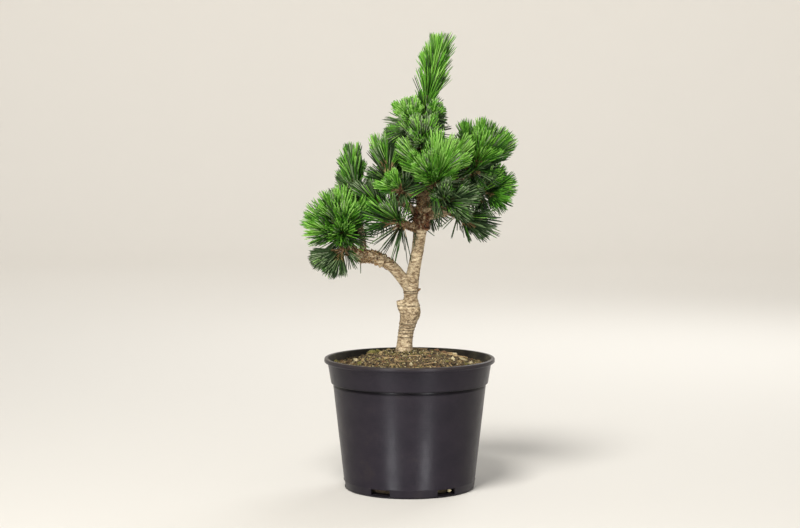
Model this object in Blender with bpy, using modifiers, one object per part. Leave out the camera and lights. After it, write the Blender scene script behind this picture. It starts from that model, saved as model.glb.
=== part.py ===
"""A small potted pine: black nursery pot, gritty soil, bare trunk, boughs and masses of needles.

Metres, +Z up. The origin is the middle of the pot's flat underside, and -Y is the plant's front.
Every mass of needles is one solid: a stem that meets its bough's tip, shoots that open from it
in a whorl, and needles set round each shoot by a seeded rule, fused by one Boolean union.
"""

import math
import random
from typing import NamedTuple

import bmesh
import bpy
import numpy as np
from mathutils import Matrix, Vector

SEED = 4
CLEARANCE = 0.0003
WELD_DISTANCE = 0.00001

# Pot
POT_HEIGHT = 0.138
POT_BASE_RADIUS = 0.0685
POT_BODY_TOP_RADIUS = 0.0806
POT_COLLAR_FOOT_RADIUS = 0.0830
POT_COLLAR_TOP_RADIUS = 0.0862
POT_LIP_RADIUS = 0.0900
POT_COLLAR_FOOT_Z = 0.1115
POT_LIP_DEPTH = 0.0048
POT_WALL = 0.0020
POT_FLOOR = 0.0024
POT_LIP_ROUND = 0.0012
POT_COLLAR_STEP = 0.0008
POT_LEDGE_Z = POT_COLLAR_FOOT_Z + POT_WALL / 2
POT_FOOT_BEVEL = 0.0012
POT_STEPS = 36
SLOT_COUNT = 6
SLOT_TURN_DEG = 3.0
SLOT_WIDTH = 0.022
SLOT_FOOT_Z = 0.0018
SLOT_TOP_Z = 0.0085
SLOT_REACH = 0.012

# Soil: a mound round the trunk's foot, drawn in at its lower edge where the slots are
SOIL_TOP_Z = 0.1432
SOIL_FLAT_RADIUS = 0.021
SOIL_EDGE_Z = 0.1305
SOIL_EDGE_SPREAD = 0.0010
SOIL_SLOPE_STEPS = 4
SOIL_FOOT_SETBACK = 0.009
SOIL_FOOT_HEIGHT = 0.012

# Trunk: x, y, z and radius at each station, from under its flat cut on the soil to the leader's foot
TRUNK = (
    (-0.0060, 0.000, 0.1380, 0.0112),
    (-0.0056, 0.000, 0.1440, 0.0096),
    (-0.0053, 0.000, 0.1500, 0.0085),
    (-0.0042, 0.000, 0.1620, 0.0080),
    (-0.0020, 0.000, 0.1740, 0.0088),
    (0.0006, 0.000, 0.1850, 0.0108),
    (0.0008, 0.000, 0.1930, 0.0098),
    (0.0012, 0.000, 0.2010, 0.0074),
    (0.0016, 0.000, 0.2100, 0.0078),
    (0.0034, 0.000, 0.2250, 0.0070),
    (0.0083, 0.000, 0.2510, 0.0063),
    (0.0110, 0.000, 0.2710, 0.0068),
    (0.0146, 0.000, 0.2990, 0.0058),
    (0.0182, 0.001, 0.3220, 0.0050),
    (0.0193, 0.002, 0.3560, 0.0038),
    (0.0172, 0.001, 0.3760, 0.0031),
    (0.0166, 0.000, 0.3880, 0.0027),
)
TRUNK_SIDES = 12
TRUNK_SPAN_STEPS = 2
THICK_LIMB_RADIUS = 0.0050
THICK_LIMB_SIDES = 10
LIMB_SIDES = 6
LIMB_SPAN_STEPS = 2


class Bough(NamedTuple):
    """A tapering limb. It starts inside its parent, and is cut clear of it."""

    parent: str
    root_radius: float
    tip_radius: float
    route: tuple


BOUGHS = {
    "pruned_stub": Bough("trunk", 0.0046, 0.0036, (
        (-0.0030, -0.001, 0.1820), (-0.0085, -0.002, 0.1905), (-0.0104, -0.002, 0.1985))),
    "bough_left_lower": Bough("trunk", 0.0064, 0.0056, (
        (0.0020, 0.000, 0.2085), (-0.0070, -0.001, 0.2210),
        (-0.0190, -0.004, 0.2350), (-0.0300, -0.006, 0.2415))),
    "bough_left_outer": Bough("bough_left_lower", 0.0060, 0.0046, (
        (-0.0280, -0.006, 0.2405), (-0.0400, -0.008, 0.2455), (-0.0520, -0.010, 0.2455),
        (-0.0625, -0.012, 0.2520), (-0.0675, -0.014, 0.2635))),
    "bough_left_under": Bough("bough_left_outer", 0.0032, 0.0026, (
        (-0.0560, -0.011, 0.2460), (-0.0620, -0.020, 0.2490), (-0.0650, -0.024, 0.2520))),
    "bough_left_upper": Bough("bough_left_outer", 0.0036, 0.0026, (
        (-0.0480, -0.009, 0.2450), (-0.0500, 0.008, 0.2640),
        (-0.0540, 0.014, 0.2850), (-0.0555, 0.014, 0.3000))),
    "bough_left_back": Bough("bough_left_outer", 0.0034, 0.0026, (
        (-0.0600, -0.010, 0.2490), (-0.0640, 0.008, 0.2560), (-0.0680, 0.020, 0.2640))),
    "bough_low_centre": Bough("trunk", 0.0036, 0.0028, (
        (0.0110, -0.001, 0.2740), (0.0010, -0.010, 0.2770), (-0.0060, -0.019, 0.2790))),
    "bough_mid_left": Bough("trunk", 0.0040, 0.0027, (
        (0.0130, 0.001, 0.2860), (-0.0040, 0.008, 0.2990),
        (-0.0170, 0.008, 0.3090), (-0.0210, 0.005, 0.3195))),
    "bough_mid_low": Bough("bough_mid_left", 0.0028, 0.0023, (
        (-0.0080, 0.008, 0.3020), (-0.0170, -0.002, 0.2990), (-0.0230, -0.006, 0.2970))),
    "bough_inner_left": Bough("trunk", 0.0030, 0.0022, (
        (0.0170, 0.000, 0.3110), (0.0050, -0.012, 0.3110), (-0.0040, -0.019, 0.3130))),
    "bough_right_upper": Bough("trunk", 0.0046, 0.0030, (
        (0.0155, 0.000, 0.3030), (0.0340, -0.004, 0.3140),
        (0.0540, -0.006, 0.3245), (0.0640, -0.006, 0.3320))),
    "bough_right_low": Bough("trunk", 0.0046, 0.0029, (
        (0.0140, 0.001, 0.2860), (0.0400, 0.004, 0.2920),
        (0.0640, 0.002, 0.3030), (0.0722, 0.000, 0.3095))),
    "bough_right_under": Bough("bough_right_low", 0.0030, 0.0024, (
        (0.0420, 0.004, 0.2935), (0.0450, -0.006, 0.2920), (0.0480, -0.014, 0.2900))),
    "bough_right_back": Bough("bough_right_low", 0.0034, 0.0026, (
        (0.0590, 0.003, 0.3005), (0.0650, 0.018, 0.3055), (0.0690, 0.027, 0.3100))),
    "bough_right_front": Bough("trunk", 0.0034, 0.0027, (
        (0.0140, -0.001, 0.2920), (0.0240, -0.014, 0.2980), (0.0310, -0.023, 0.3020))),
    "bough_front": Bough("trunk", 0.0040, 0.0028, (
        (0.0182, 0.000, 0.3200), (0.0205, -0.014, 0.3190), (0.0240, -0.026, 0.3210))),
    "bough_back": Bough("trunk", 0.0044, 0.0030, (
        (0.0145, 0.001, 0.2960), (0.0110, 0.022, 0.3080), (0.0070, 0.034, 0.3160))),
    "bough_back_low": Bough("trunk", 0.0034, 0.0026, (
        (0.0120, 0.001, 0.2800), (0.0160, 0.018, 0.2890), (0.0200, 0.027, 0.2950))),
    "bough_back_left": Bough("trunk", 0.0040, 0.0027, (
        (0.0188, 0.002, 0.3360), (0.0080, 0.014, 0.3400), (-0.0010, 0.022, 0.3450))),
    "bough_back_right": Bough("trunk", 0.0040, 0.0028, (
        (0.0185, 0.001, 0.3260), (0.0320, 0.020, 0.3320), (0.0400, 0.028, 0.3360))),
    "bough_crown_left": Bough("trunk", 0.0028, 0.0022, (
        (0.0175, 0.001, 0.3680), (0.0105, -0.004, 0.3725), (0.0070, -0.007, 0.3775))),
    "bough_crown_right": Bough("trunk", 0.0026, 0.0022, (
        (0.0170, 0.001, 0.3760), (0.0195, -0.008, 0.3780), (0.0200, -0.012, 0.3810))),
    "bough_crown_front": Bough("trunk", 0.0028, 0.0023, (
        (0.0190, 0.002, 0.3500), (0.0160, -0.009, 0.3530), (0.0140, -0.015, 0.3570))),
    "bough_crown_back": Bough("trunk", 0.0030, 0.0024, (
        (0.0180, 0.001, 0.3620), (0.0190, 0.010, 0.3660), (0.0200, 0.015, 0.3710))),
}


class Mass(NamedTuple):
    """A whorl of shoots at a limb's tip, and a skirt of older needles round the knuckle below it.

    The skirt is the band of the knuckle that lies between two angles from the aim.
    """

    limb: str
    aim: tuple
    shoots: int
    opening_deg: float
    turn_deg: float
    shoot_length: float
    needle_length: float
    skirt_from_deg: float
    skirt_to_deg: float
    skirt_length: float
    tone: str


MASSES = {
    "foliage_leader": Mass("trunk", (0.20, 0.00, 1.00), 1, 0, 0, 0.060, 0.038, 50, 100, 0.026, "fresh"),
    "foliage_front": Mass(
        "bough_front", (0.02, -0.42, 0.92), 6, 46, 15, 0.026, 0.037, 80, 130, 0.038, "fresh"),
    "foliage_left_dome": Mass(
        "bough_left_outer", (-0.40, -0.30, 0.90), 10, 72, 70, 0.018, 0.032, 100, 130, 0.026, "fresh"),
    "foliage_right_upper": Mass(
        "bough_right_upper", (0.34, -0.15, 0.94), 6, 38, 20, 0.0235, 0.031, 62, 130, 0.034, "fresh"),
    "foliage_low_centre": Mass(
        "bough_low_centre", (-0.62, -0.40, 0.45), 4, 50, 200, 0.012, 0.038, 50, 165, 0.041, "green"),
    "foliage_crown_left": Mass(
        "bough_crown_left", (-0.34, -0.35, 0.88), 4, 36, 40, 0.011, 0.020, 52, 130, 0.035, "fresh"),
    "foliage_crown_right": Mass(
        "bough_crown_right", (0.20, -0.50, 0.82), 2, 24, 10, 0.010, 0.016, 60, 130, 0.018, "green"),
    "foliage_crown_front": Mass(
        "bough_crown_front", (-0.20, -0.60, 0.80), 4, 46, 30, 0.014, 0.029, 75, 125, 0.032, "green"),
    "foliage_crown_back": Mass(
        "bough_crown_back", (-0.25, 0.75, 0.62), 3, 44, 80, 0.015, 0.027, 75, 125, 0.030, "green"),
    "foliage_left_upper": Mass(
        "bough_left_upper", (-0.05, 0.70, 0.90), 3, 34, 170, 0.024, 0.032, 45, 140, 0.030, "green"),
    "foliage_mid_left": Mass(
        "bough_mid_left", (0.02, -0.12, 1.00), 3, 22, 60, 0.018, 0.034, 52, 130, 0.030, "green"),
    "foliage_right_low": Mass(
        "bough_right_low", (0.90, -0.20, 0.30), 5, 56, 90, 0.012, 0.024, 80, 130, 0.030, "fresh"),
    "foliage_right_front": Mass(
        "bough_right_front", (0.80, -0.55, 0.12), 4, 56, 10, 0.012, 0.032, 75, 130, 0.032, "old"),
    "foliage_right_under": Mass(
        "bough_right_under", (0.88, -0.30, -0.38), 3, 26, 210, 0.012, 0.034, 65, 110, 0.026, "old"),
    "foliage_mid_low": Mass(
        "bough_mid_low", (-0.85, 0.05, 0.20), 3, 48, 0, 0.010, 0.034, 75, 120, 0.030, "old"),
    "foliage_inner_left": Mass(
        "bough_inner_left", (-0.90, -0.35, 0.25), 2, 40, 0, 0.009, 0.021, 60, 120, 0.026, "fresh"),
    "foliage_left_under": Mass(
        "bough_left_under", (-0.74, -0.30, -0.40), 3, 36, 120, 0.011, 0.026, 75, 110, 0.022, "old"),
    "foliage_right_back": Mass(
        "bough_right_back", (0.60, 0.75, 0.35), 3, 50, 30, 0.016, 0.029, 80, 125, 0.034, "green"),
    "foliage_back": Mass(
        "bough_back", (-0.20, 0.65, 0.65), 4, 50, 0, 0.021, 0.033, 80, 130, 0.036, "fresh"),
    "foliage_back_right": Mass(
        "bough_back_right", (0.62, 0.55, 0.62), 4, 46, 25, 0.016, 0.030, 75, 125, 0.034, "fresh"),
    "foliage_back_left": Mass(
        "bough_back_left", (-0.34, 0.50, 0.75), 4, 44, 70, 0.015, 0.028, 75, 125, 0.032, "green"),
    "foliage_left_back": Mass(
        "bough_left_back", (-0.35, 0.75, 0.50), 3, 52, 0, 0.016, 0.031, 80, 125, 0.034, "green"),
    "foliage_back_low": Mass(
        "bough_back_low", (0.20, 0.80, 0.20), 3, 46, 0, 0.012, 0.031, 70, 115, 0.028, "old"),
}
STEM_LENGTH = 0.0060
STEM_SHARE = 0.96
KNUCKLE_RADIUS = 0.0044
SHOOT_ROOT_RADIUS = 0.0012
SHOOT_TIP_RADIUS = 0.0028
SHOOT_SIDES = 5
SHOOT_BARE = 0.0065
SHOOT_SHORTEST, SHOOT_LONGEST = 0.85, 1.10
SHOOT_BAND = 0.0070
SHOOT_JITTER_DEG = 5.0
GOLDEN_ANGLE = math.pi * (3 - math.sqrt(5))
NEEDLE_ROOT_ANGLE_DEG = 38.0
NEEDLE_TIP_ANGLE_DEG = 13.0
NEEDLE_JITTER_DEG = 1.5
NEEDLE_SHORTER_BY = 0.16
NEEDLE_FREE_FROM = 0.18
NEEDLE_GAP = 0.0004
NEEDLE_ROOT_SHARE = 0.6
RIVAL_SHARE = 0.45
CROWN_TOP_Z = 0.4795
SHARP_FROM_DEG = 35

# Colour and roughness of each material
COLOURS = {
    "pot": ((0.018, 0.018, 0.021), 0.42),
    "soil": ((0.105, 0.068, 0.035), 0.95),
    "bark": ((0.270, 0.190, 0.115), 0.88),
    "fresh": ((0.110, 0.310, 0.035), 0.50),
    "green": ((0.060, 0.210, 0.032), 0.50),
    "old": ((0.030, 0.095, 0.040), 0.55),
}


def clear_scene():
    for obj in list(bpy.data.objects):
        bpy.data.objects.remove(obj)


def new_collection(name):
    made = bpy.data.collections.new(name)
    bpy.context.scene.collection.children.link(made)
    return made


def new_material(name):
    colour, roughness = COLOURS[name]
    made = bpy.data.materials.new(name)
    made.use_nodes = True
    shader = made.node_tree.nodes["Principled BSDF"]
    shader.inputs["Base Color"].default_value = (*colour, 1.0)
    shader.inputs["Roughness"].default_value = roughness
    shader.inputs["Metallic"].default_value = 0.0
    made.diffuse_color = (*colour, 1.0)
    return made


def mesh_object(name, mesh, collection):
    obj = bpy.data.objects.new(name, mesh)
    collection.objects.link(obj)
    return obj


def turned(name, profile, steps, collection):
    """A solid of revolution about Z. The profile runs from the axis out, and down its outer side."""
    mesh = bpy.data.meshes.new(name)
    points = [(radius, 0.0, z) for radius, z in profile]
    mesh.from_pydata(points, [(i, i + 1) for i in range(len(points) - 1)], [])
    obj = mesh_object(name, mesh, collection)
    screw = obj.modifiers.new("Turn", "SCREW")
    screw.axis = "Z"
    screw.angle = 2 * math.pi
    screw.steps = screw.render_steps = steps
    screw.use_merge_vertices = True
    screw.merge_threshold = WELD_DISTANCE
    screw.use_smooth_shade = False
    return obj


def baked(obj):
    """Replaces an object by the mesh that its modifiers or bevel make. A curve's caps are welded."""
    bpy.context.view_layer.update()
    evaluated = obj.evaluated_get(bpy.context.evaluated_depsgraph_get())
    mesh = bpy.data.meshes.new_from_object(evaluated)
    name, kind, home = obj.name, obj.type, obj.users_collection[0]
    bpy.data.objects.remove(obj)
    if kind == "CURVE":
        body = bmesh.new()
        body.from_mesh(mesh)
        bmesh.ops.remove_doubles(body, verts=body.verts, dist=WELD_DISTANCE)
        body.to_mesh(mesh)
        body.free()
    return mesh_object(name, mesh, home)


def boolean(obj, operation, other=None, collection=None, solver="EXACT"):
    modifier = obj.modifiers.new(operation.title(), "BOOLEAN")
    modifier.operation = operation
    modifier.solver = solver
    if other is not None:
        modifier.object = other
    else:
        modifier.operand_type = "COLLECTION"
        modifier.collection = collection
    return baked(obj)


def along_path(stations, steps):
    """Stations (x, y, z, ...) joined by a Catmull-Rom curve, with that many steps to a span."""
    nodes = np.array(stations, float)
    nodes = np.vstack([2 * nodes[0] - nodes[1], nodes, 2 * nodes[-1] - nodes[-2]])
    path = []
    for a, b, c, d in zip(nodes, nodes[1:], nodes[2:], nodes[3:]):
        for t in np.arange(steps) / steps:
            path.append(0.5 * (2 * b + (c - a) * t + (2 * a - 5 * b + 4 * c - d) * t**2
                               + (3 * b - 3 * c + d - a) * t**3))
    path.append(nodes[-2])
    return np.array(path)


def tube(name, path, collection, sides, swell=0.0):
    """A tapering limb along path (x, y, z, radius), made larger all round and longer by swell."""
    path = np.array(path)
    path[0, :3] -= unit(path[1, :3] - path[0, :3]) * swell
    path[-1, :3] += unit(path[-1, :3] - path[-2, :3]) * swell
    curve = bpy.data.curves.new(name, "CURVE")
    curve.dimensions = "3D"
    curve.bevel_depth = 1.0
    curve.bevel_resolution = (sides - 4) // 2
    curve.use_fill_caps = True
    spline = curve.splines.new("POLY")
    spline.points.add(len(path) - 1)
    for point, (x, y, z, radius) in zip(spline.points, path):
        point.co = (x, y, z, 1.0)
        point.radius = radius + swell
    return baked(mesh_object(name, curve, collection))


def build_pot(parts, cutters):
    lip_foot_z = POT_HEIGHT - POT_LIP_DEPTH
    outer = [
        (POT_LIP_RADIUS - POT_LIP_ROUND, POT_HEIGHT),
        (POT_LIP_RADIUS, POT_HEIGHT - POT_LIP_ROUND),
        (POT_LIP_RADIUS, lip_foot_z + POT_LIP_ROUND),
        (POT_LIP_RADIUS - POT_LIP_ROUND, lip_foot_z),
        (POT_COLLAR_TOP_RADIUS, lip_foot_z - POT_LIP_ROUND),
        (POT_COLLAR_FOOT_RADIUS, POT_COLLAR_FOOT_Z + POT_COLLAR_STEP),
        (POT_COLLAR_FOOT_RADIUS - POT_COLLAR_STEP, POT_COLLAR_FOOT_Z),
        (POT_BODY_TOP_RADIUS, POT_COLLAR_FOOT_Z),
        (POT_BASE_RADIUS, POT_FOOT_BEVEL),
        (POT_BASE_RADIUS - POT_FOOT_BEVEL, 0.0),
        (0.0, 0.0),
    ]
    inner = [
        (0.0, POT_FLOOR),
        (POT_BASE_RADIUS - POT_WALL, POT_FLOOR),
        (POT_BODY_TOP_RADIUS - POT_WALL, POT_LEDGE_Z),
        (POT_COLLAR_FOOT_RADIUS - POT_WALL, POT_LEDGE_Z + POT_WALL),
        (POT_COLLAR_TOP_RADIUS - POT_WALL, lip_foot_z),
        (POT_COLLAR_TOP_RADIUS - POT_WALL + POT_LIP_ROUND, POT_HEIGHT),
    ]
    pot = baked(turned("pot", inner + outer, POT_STEPS, parts))
    for index in range(SLOT_COUNT):
        turn = math.radians(-90 + SLOT_TURN_DEG + (index + 0.5) * 360 / SLOT_COUNT)
        cutter = box("slot_cutter", cutters, SLOT_REACH, SLOT_WIDTH, SLOT_TOP_Z - SLOT_FOOT_Z)
        middle = POT_BASE_RADIUS - POT_WALL + SLOT_REACH / 4
        cutter.location = (middle * math.cos(turn), middle * math.sin(turn), (SLOT_TOP_Z + SLOT_FOOT_Z) / 2)
        cutter.rotation_euler = (0, 0, turn)
        pot = boolean(pot, "DIFFERENCE", cutter)
        bpy.data.objects.remove(cutter)
    return pot


def box(name, collection, x, y, z):
    body = bmesh.new()
    bmesh.ops.create_cube(body, size=1.0)
    bmesh.ops.scale(body, vec=(x, y, z), verts=body.verts)
    mesh = bpy.data.meshes.new(name)
    body.to_mesh(mesh)
    body.free()
    made = mesh_object(name, mesh, collection)
    made.hide_render = True
    made.display_type = "WIRE"
    return made


def pot_inner_radius(z):
    """The pot's inner wall at a height, on the body's straight taper."""
    share = (z - POT_FLOOR) / (POT_LEDGE_Z - POT_FLOOR)
    return (POT_BASE_RADIUS - POT_WALL) + share * (POT_BODY_TOP_RADIUS - POT_BASE_RADIUS)


def build_soil(parts):
    edge = POT_COLLAR_FOOT_RADIUS - POT_WALL + SOIL_EDGE_SPREAD
    slope = []
    for step in range(SOIL_SLOPE_STEPS + 1):
        share = step / SOIL_SLOPE_STEPS
        fall = (1 - math.cos(math.pi * share)) / 2
        slope.append((SOIL_FLAT_RADIUS + (edge - SOIL_FLAT_RADIUS) * share,
                      SOIL_TOP_Z - (SOIL_TOP_Z - SOIL_EDGE_Z) * fall))
    foot_z = POT_FLOOR + SOIL_FOOT_HEIGHT
    profile = [
        (0.0, SOIL_TOP_Z),
        *slope,
        (POT_COLLAR_FOOT_RADIUS - POT_WALL - CLEARANCE, POT_LEDGE_Z + POT_WALL + CLEARANCE),
        (pot_inner_radius(POT_LEDGE_Z) - CLEARANCE, POT_LEDGE_Z + CLEARANCE),
        (pot_inner_radius(foot_z) - CLEARANCE, foot_z),
        (POT_BASE_RADIUS - POT_WALL - SOIL_FOOT_SETBACK, POT_FLOOR + CLEARANCE),
        (0.0, POT_FLOOR + CLEARANCE),
    ]
    return baked(turned("soil", profile, POT_STEPS // 2, parts))


def end_of(path):
    """A path's last point, and the direction in which it leaves."""
    return path[-1][:3], unit(path[-1][:3] - path[-2][:3])


def limb_paths():
    """Every limb's smooth path by name. A bough's radius falls evenly from root to tip."""
    paths = {"trunk": along_path(TRUNK, TRUNK_SPAN_STEPS)}
    for name, bough in BOUGHS.items():
        radii = np.linspace(bough.root_radius, bough.tip_radius, len(bough.route))
        stations = [(*point, radius) for point, radius in zip(bough.route, radii)]
        paths[name] = along_path(stations, LIMB_SPAN_STEPS)
    return paths


def limb_sides(name):
    if name == "trunk":
        return TRUNK_SIDES
    return THICK_LIMB_SIDES if BOUGHS[name].root_radius > THICK_LIMB_RADIUS else LIMB_SIDES


def build_limbs(paths, parts, cutters):
    limbs = {}
    for name, path in paths.items():
        limb = tube(name, path, parts, limb_sides(name))
        if name == "trunk":
            cutter = box("limb_cutter", cutters, POT_BASE_RADIUS, POT_BASE_RADIUS, SOIL_TOP_Z)
            cutter.location = (0, 0, SOIL_TOP_Z / 2 + CLEARANCE)
        else:
            parent = BOUGHS[name].parent
            cutter = tube("limb_cutter", paths[parent], cutters, limb_sides(parent), CLEARANCE)
        limbs[name] = boolean(limb, "DIFFERENCE", cutter)
        bpy.data.objects.remove(cutter)
        keep_largest_shell(limbs[name])
    return limbs


def keep_largest_shell(obj):
    """Drops loose scraps and fills sealed hollows, so that one closed body is left."""
    body = bmesh.new()
    body.from_mesh(obj.data)
    left, shells = set(body.faces), []
    while left:
        shell, border = [], [left.pop()]
        while border:
            face = border.pop()
            shell.append(face)
            for edge in face.edges:
                for other in edge.link_faces:
                    if other in left:
                        left.remove(other)
                        border.append(other)
        shells.append(shell)
    shells.sort(key=len)
    scraps = [face for shell in shells[:-1] for face in shell]
    bmesh.ops.delete(body, geom=scraps, context="FACES")
    body.to_mesh(obj.data)
    body.free()


class Rod(NamedTuple):
    """A straight tapering piece: a length of limb, a stem, a shoot or a needle."""

    root: np.ndarray
    tip: np.ndarray
    root_radius: float
    tip_radius: float


class Crowd:
    """Every rod placed so far, with the mass and the shoot that it belongs to."""

    def __init__(self):
        self.rows = np.empty((0, 8))
        self.owners = np.empty((0, 2), int)

    def add(self, rod, mass, shoot):
        self.rows = np.vstack([self.rows, (*rod.root, *rod.tip, rod.root_radius, rod.tip_radius)])
        self.owners = np.vstack([self.owners, (mass, shoot)])

    def admits(self, rod, mass, shoot):
        """Whether a needle keeps off the limbs, the other masses and its sister shoots' needles."""
        apart, s, t = segment_gaps(rod.root, rod.tip, self.rows[:, 0:3], self.rows[:, 3:6])
        own = rod.root_radius + (rod.tip_radius - rod.root_radius) * s
        others = self.rows[:, 6] + (self.rows[:, 7] - self.rows[:, 6]) * t
        room = apart - own - others
        foreign = self.owners[:, 0] != mass
        sister = ~foreign & (self.owners[:, 1] != shoot) & (s > NEEDLE_FREE_FROM)
        return not (room[foreign] < NEEDLE_GAP).any() and not (room[sister] < 0).any()


def segment_gaps(p0, p1, q0, q1):
    """The gap from one segment to each of many, and how far along each of the two it lies."""
    d1, d2, r = p1 - p0, q1 - q0, p0 - q0
    a = d1 @ d1
    e = (d2 * d2).sum(1)
    f = (d2 * r).sum(1)
    c = r @ d1
    b = d2 @ d1
    denominator = a * e - b * b
    flat = denominator < 1e-16
    s = np.where(flat, 0.0, np.clip((b * f - c * e) / np.where(flat, 1.0, denominator), 0, 1))
    t = (b * s + f) / e
    s = np.where(t < 0, np.clip(-c / a, 0, 1), np.where(t > 1, np.clip((b - c) / a, 0, 1), s))
    t = np.clip(t, 0, 1)
    between = (p0 + s[:, None] * d1) - (q0 + t[:, None] * d2)
    return np.linalg.norm(between, axis=1), s, t


def unit(vector):
    vector = np.array(vector, float)
    return vector / np.linalg.norm(vector)


def tilted(axis, angle, turn):
    """A unit vector at that angle from the axis, turned about it. Both are in radians."""
    axis = unit(axis)
    side = unit(np.cross(axis, (0.0, 1.0, 0.0) if abs(axis[1]) < 0.9 else (1.0, 0.0, 0.0)))
    other = np.cross(axis, side)
    return axis * math.cos(angle) + (side * math.cos(turn) + other * math.sin(turn)) * math.sin(angle)


def mass_skeleton(mass, path, dice):
    """The stem from the limb's tip, and the shoots that open from its end, spread evenly round the aim."""
    tip, heading = end_of(path)
    tip_radius = path[-1][3]
    root = tip + heading * CLEARANCE
    knuckle = root + heading * STEM_LENGTH
    stem = Rod(root, knuckle, tip_radius * STEM_SHARE, tip_radius * STEM_SHARE)
    shoots = []
    for index in range(mass.shoots):
        spread = math.sqrt(index / max(mass.shoots - 1, 1))
        opening = spread * math.radians(mass.opening_deg + dice.uniform(-1, 1) * SHOOT_JITTER_DEG)
        aim = tilted(mass.aim, opening, math.radians(mass.turn_deg) + index * GOLDEN_ANGLE)
        length = mass.shoot_length * dice.uniform(SHOOT_SHORTEST, SHOOT_LONGEST) + KNUCKLE_RADIUS
        shoots.append(Rod(knuckle, knuckle + aim * length, SHOOT_ROOT_RADIUS, SHOOT_TIP_RADIUS))
    return stem, shoots


def rod_body(rod, sides):
    """A rod as a closed cone in world space."""
    axis = Vector(rod.tip - rod.root)
    turn = axis.to_track_quat("Z", "Y").to_matrix().to_4x4()
    place = Matrix.Translation(Vector((rod.root + rod.tip) / 2)) @ turn
    body = bmesh.new()
    bmesh.ops.create_cone(body, cap_ends=True, cap_tris=False, segments=sides, radius1=rod.root_radius,
                          radius2=rod.tip_radius, depth=axis.length, matrix=place)
    return body


def shoot_rings(shoot):
    """How far along a shoot its rings lie: its bare foot, then even bands up to the tip."""
    length = float(np.linalg.norm(shoot.tip - shoot.root))
    bands = max(1, round((length - SHOOT_BARE) / SHOOT_BAND))
    return np.array([0.0, *np.linspace(SHOOT_BARE, length, bands + 1)])


def shoot_body(shoot):
    """A shoot's core: a slim rod in bands of triangles, each ring turned half a side on from the last."""
    body = rod_body(shoot, SHOOT_SIDES)
    axis = Vector(unit(shoot.tip - shoot.root))
    foot = Vector(shoot.root)
    rings = shoot_rings(shoot)
    for height in rings[1:-1]:
        geometry = body.verts[:] + body.edges[:] + body.faces[:]
        bmesh.ops.bisect_plane(body, geom=geometry, plane_co=foot + axis * float(height), plane_no=axis)
    for vert in body.verts:
        ring = int(abs(rings - (vert.co - foot).dot(axis)).argmin())
        vert.co = foot + Matrix.Rotation(ring * math.pi / SHOOT_SIDES, 3, axis) @ (vert.co - foot)
    sides = [face for face in body.faces if len(face.verts) == 4]
    bmesh.ops.triangulate(body, faces=sides, quad_method="BEAUTY")
    caps = [face for face in body.faces if len(face.verts) > 3 and face.normal.dot(axis) > 0]
    bmesh.ops.poke(body, faces=caps, offset=shoot.tip_radius)
    return body


def knuckle_body(place):
    """The knot of old buds where the shoots part."""
    body = bmesh.new()
    matrix = Matrix.Translation(Vector(place))
    bmesh.ops.create_icosphere(body, subdivisions=2, radius=KNUCKLE_RADIUS, matrix=matrix)
    return body


def shoot_needle(face, shoot, length, dice):
    """A needle's root and tip: laid back at the shoot's root and nearly straight ahead at its tip."""
    axis = unit(shoot.tip - shoot.root)
    root = np.array(face.calc_center_median())
    along = float((root - shoot.root) @ axis)
    share = (along - SHOOT_BARE) / (np.linalg.norm(shoot.tip - shoot.root) - SHOOT_BARE)
    if share < 0:
        return None
    outward = unit(root - shoot.root - axis * along)
    lean = math.radians(NEEDLE_ROOT_ANGLE_DEG + (NEEDLE_TIP_ANGLE_DEG - NEEDLE_ROOT_ANGLE_DEG) * share
                        + dice.uniform(-1, 1) * NEEDLE_JITTER_DEG)
    heading = axis * math.cos(lean) + outward * math.sin(lean)
    reach = length * (1 - dice.random() * NEEDLE_SHORTER_BY)
    if heading[2] > 0:
        reach = min(reach, (CROWN_TOP_Z - root[2]) / heading[2])
    return root, root + heading * reach


def skirt_needle(face, mass, knuckle, dice):
    """An older needle that stands straight out of the knuckle, below the shoots."""
    root = np.array(face.calc_center_median())
    outward = unit(root - knuckle)
    angle = math.degrees(math.acos(float(outward @ unit(mass.aim))))
    if not mass.skirt_from_deg < angle < mass.skirt_to_deg:
        return None
    return root, root + outward * mass.skirt_length * (1 - dice.random() * NEEDLE_SHORTER_BY)


def in_own_space(point, mass, bones):
    """Whether a point keeps to its own mass's side of the space between that mass and its rivals."""
    gaps, _, _ = segment_gaps(point, point + 1e-6, bones.rows[:, 0:3], bones.rows[:, 3:6])
    own = bones.owners[:, 0] == mass
    return gaps[own].min() * RIVAL_SHARE < gaps[~own].min()


def grow(body, rule, mass, shoot, crowd, bones):
    """Draws faces of a body out into needles, where the rule gives one and there is room for it."""
    for face in body.faces[:]:
        ends = rule(face)
        if ends is None:
            continue
        rod = Rod(*ends, math.sqrt(face.calc_area()) * NEEDLE_ROOT_SHARE, 0.0)
        if in_own_space(rod.tip, mass, bones) and crowd.admits(rod, mass, shoot):
            crowd.add(rod, mass, shoot)
            point = bmesh.ops.poke(body, faces=[face])["verts"][0]
            point.co = Vector(rod.tip)


def body_object(name, body, collection):
    mesh = bpy.data.meshes.new(name)
    body.to_mesh(mesh)
    body.free()
    return mesh_object(name, mesh, collection)


def closed(obj):
    body = bmesh.new()
    body.from_mesh(obj.data)
    whole = len(body.faces) > 0 and all(len(edge.link_faces) == 2 for edge in body.edges)
    body.free()
    return whole


def fused(name, knuckle, pieces, parts, work):
    """One closed solid of a mass: its knuckle, stem and shoots in one union."""
    for solver in ("EXACT", "MANIFOLD"):
        for piece in pieces:
            body_object("piece", piece.copy(), work)
        solid = boolean(body_object(name, knuckle.copy(), parts), "UNION", collection=work, solver=solver)
        for piece in list(work.objects):
            bpy.data.objects.remove(piece)
        keep_largest_shell(solid)
        if closed(solid):
            return solid
        bpy.data.objects.remove(solid)
    return None


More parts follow.
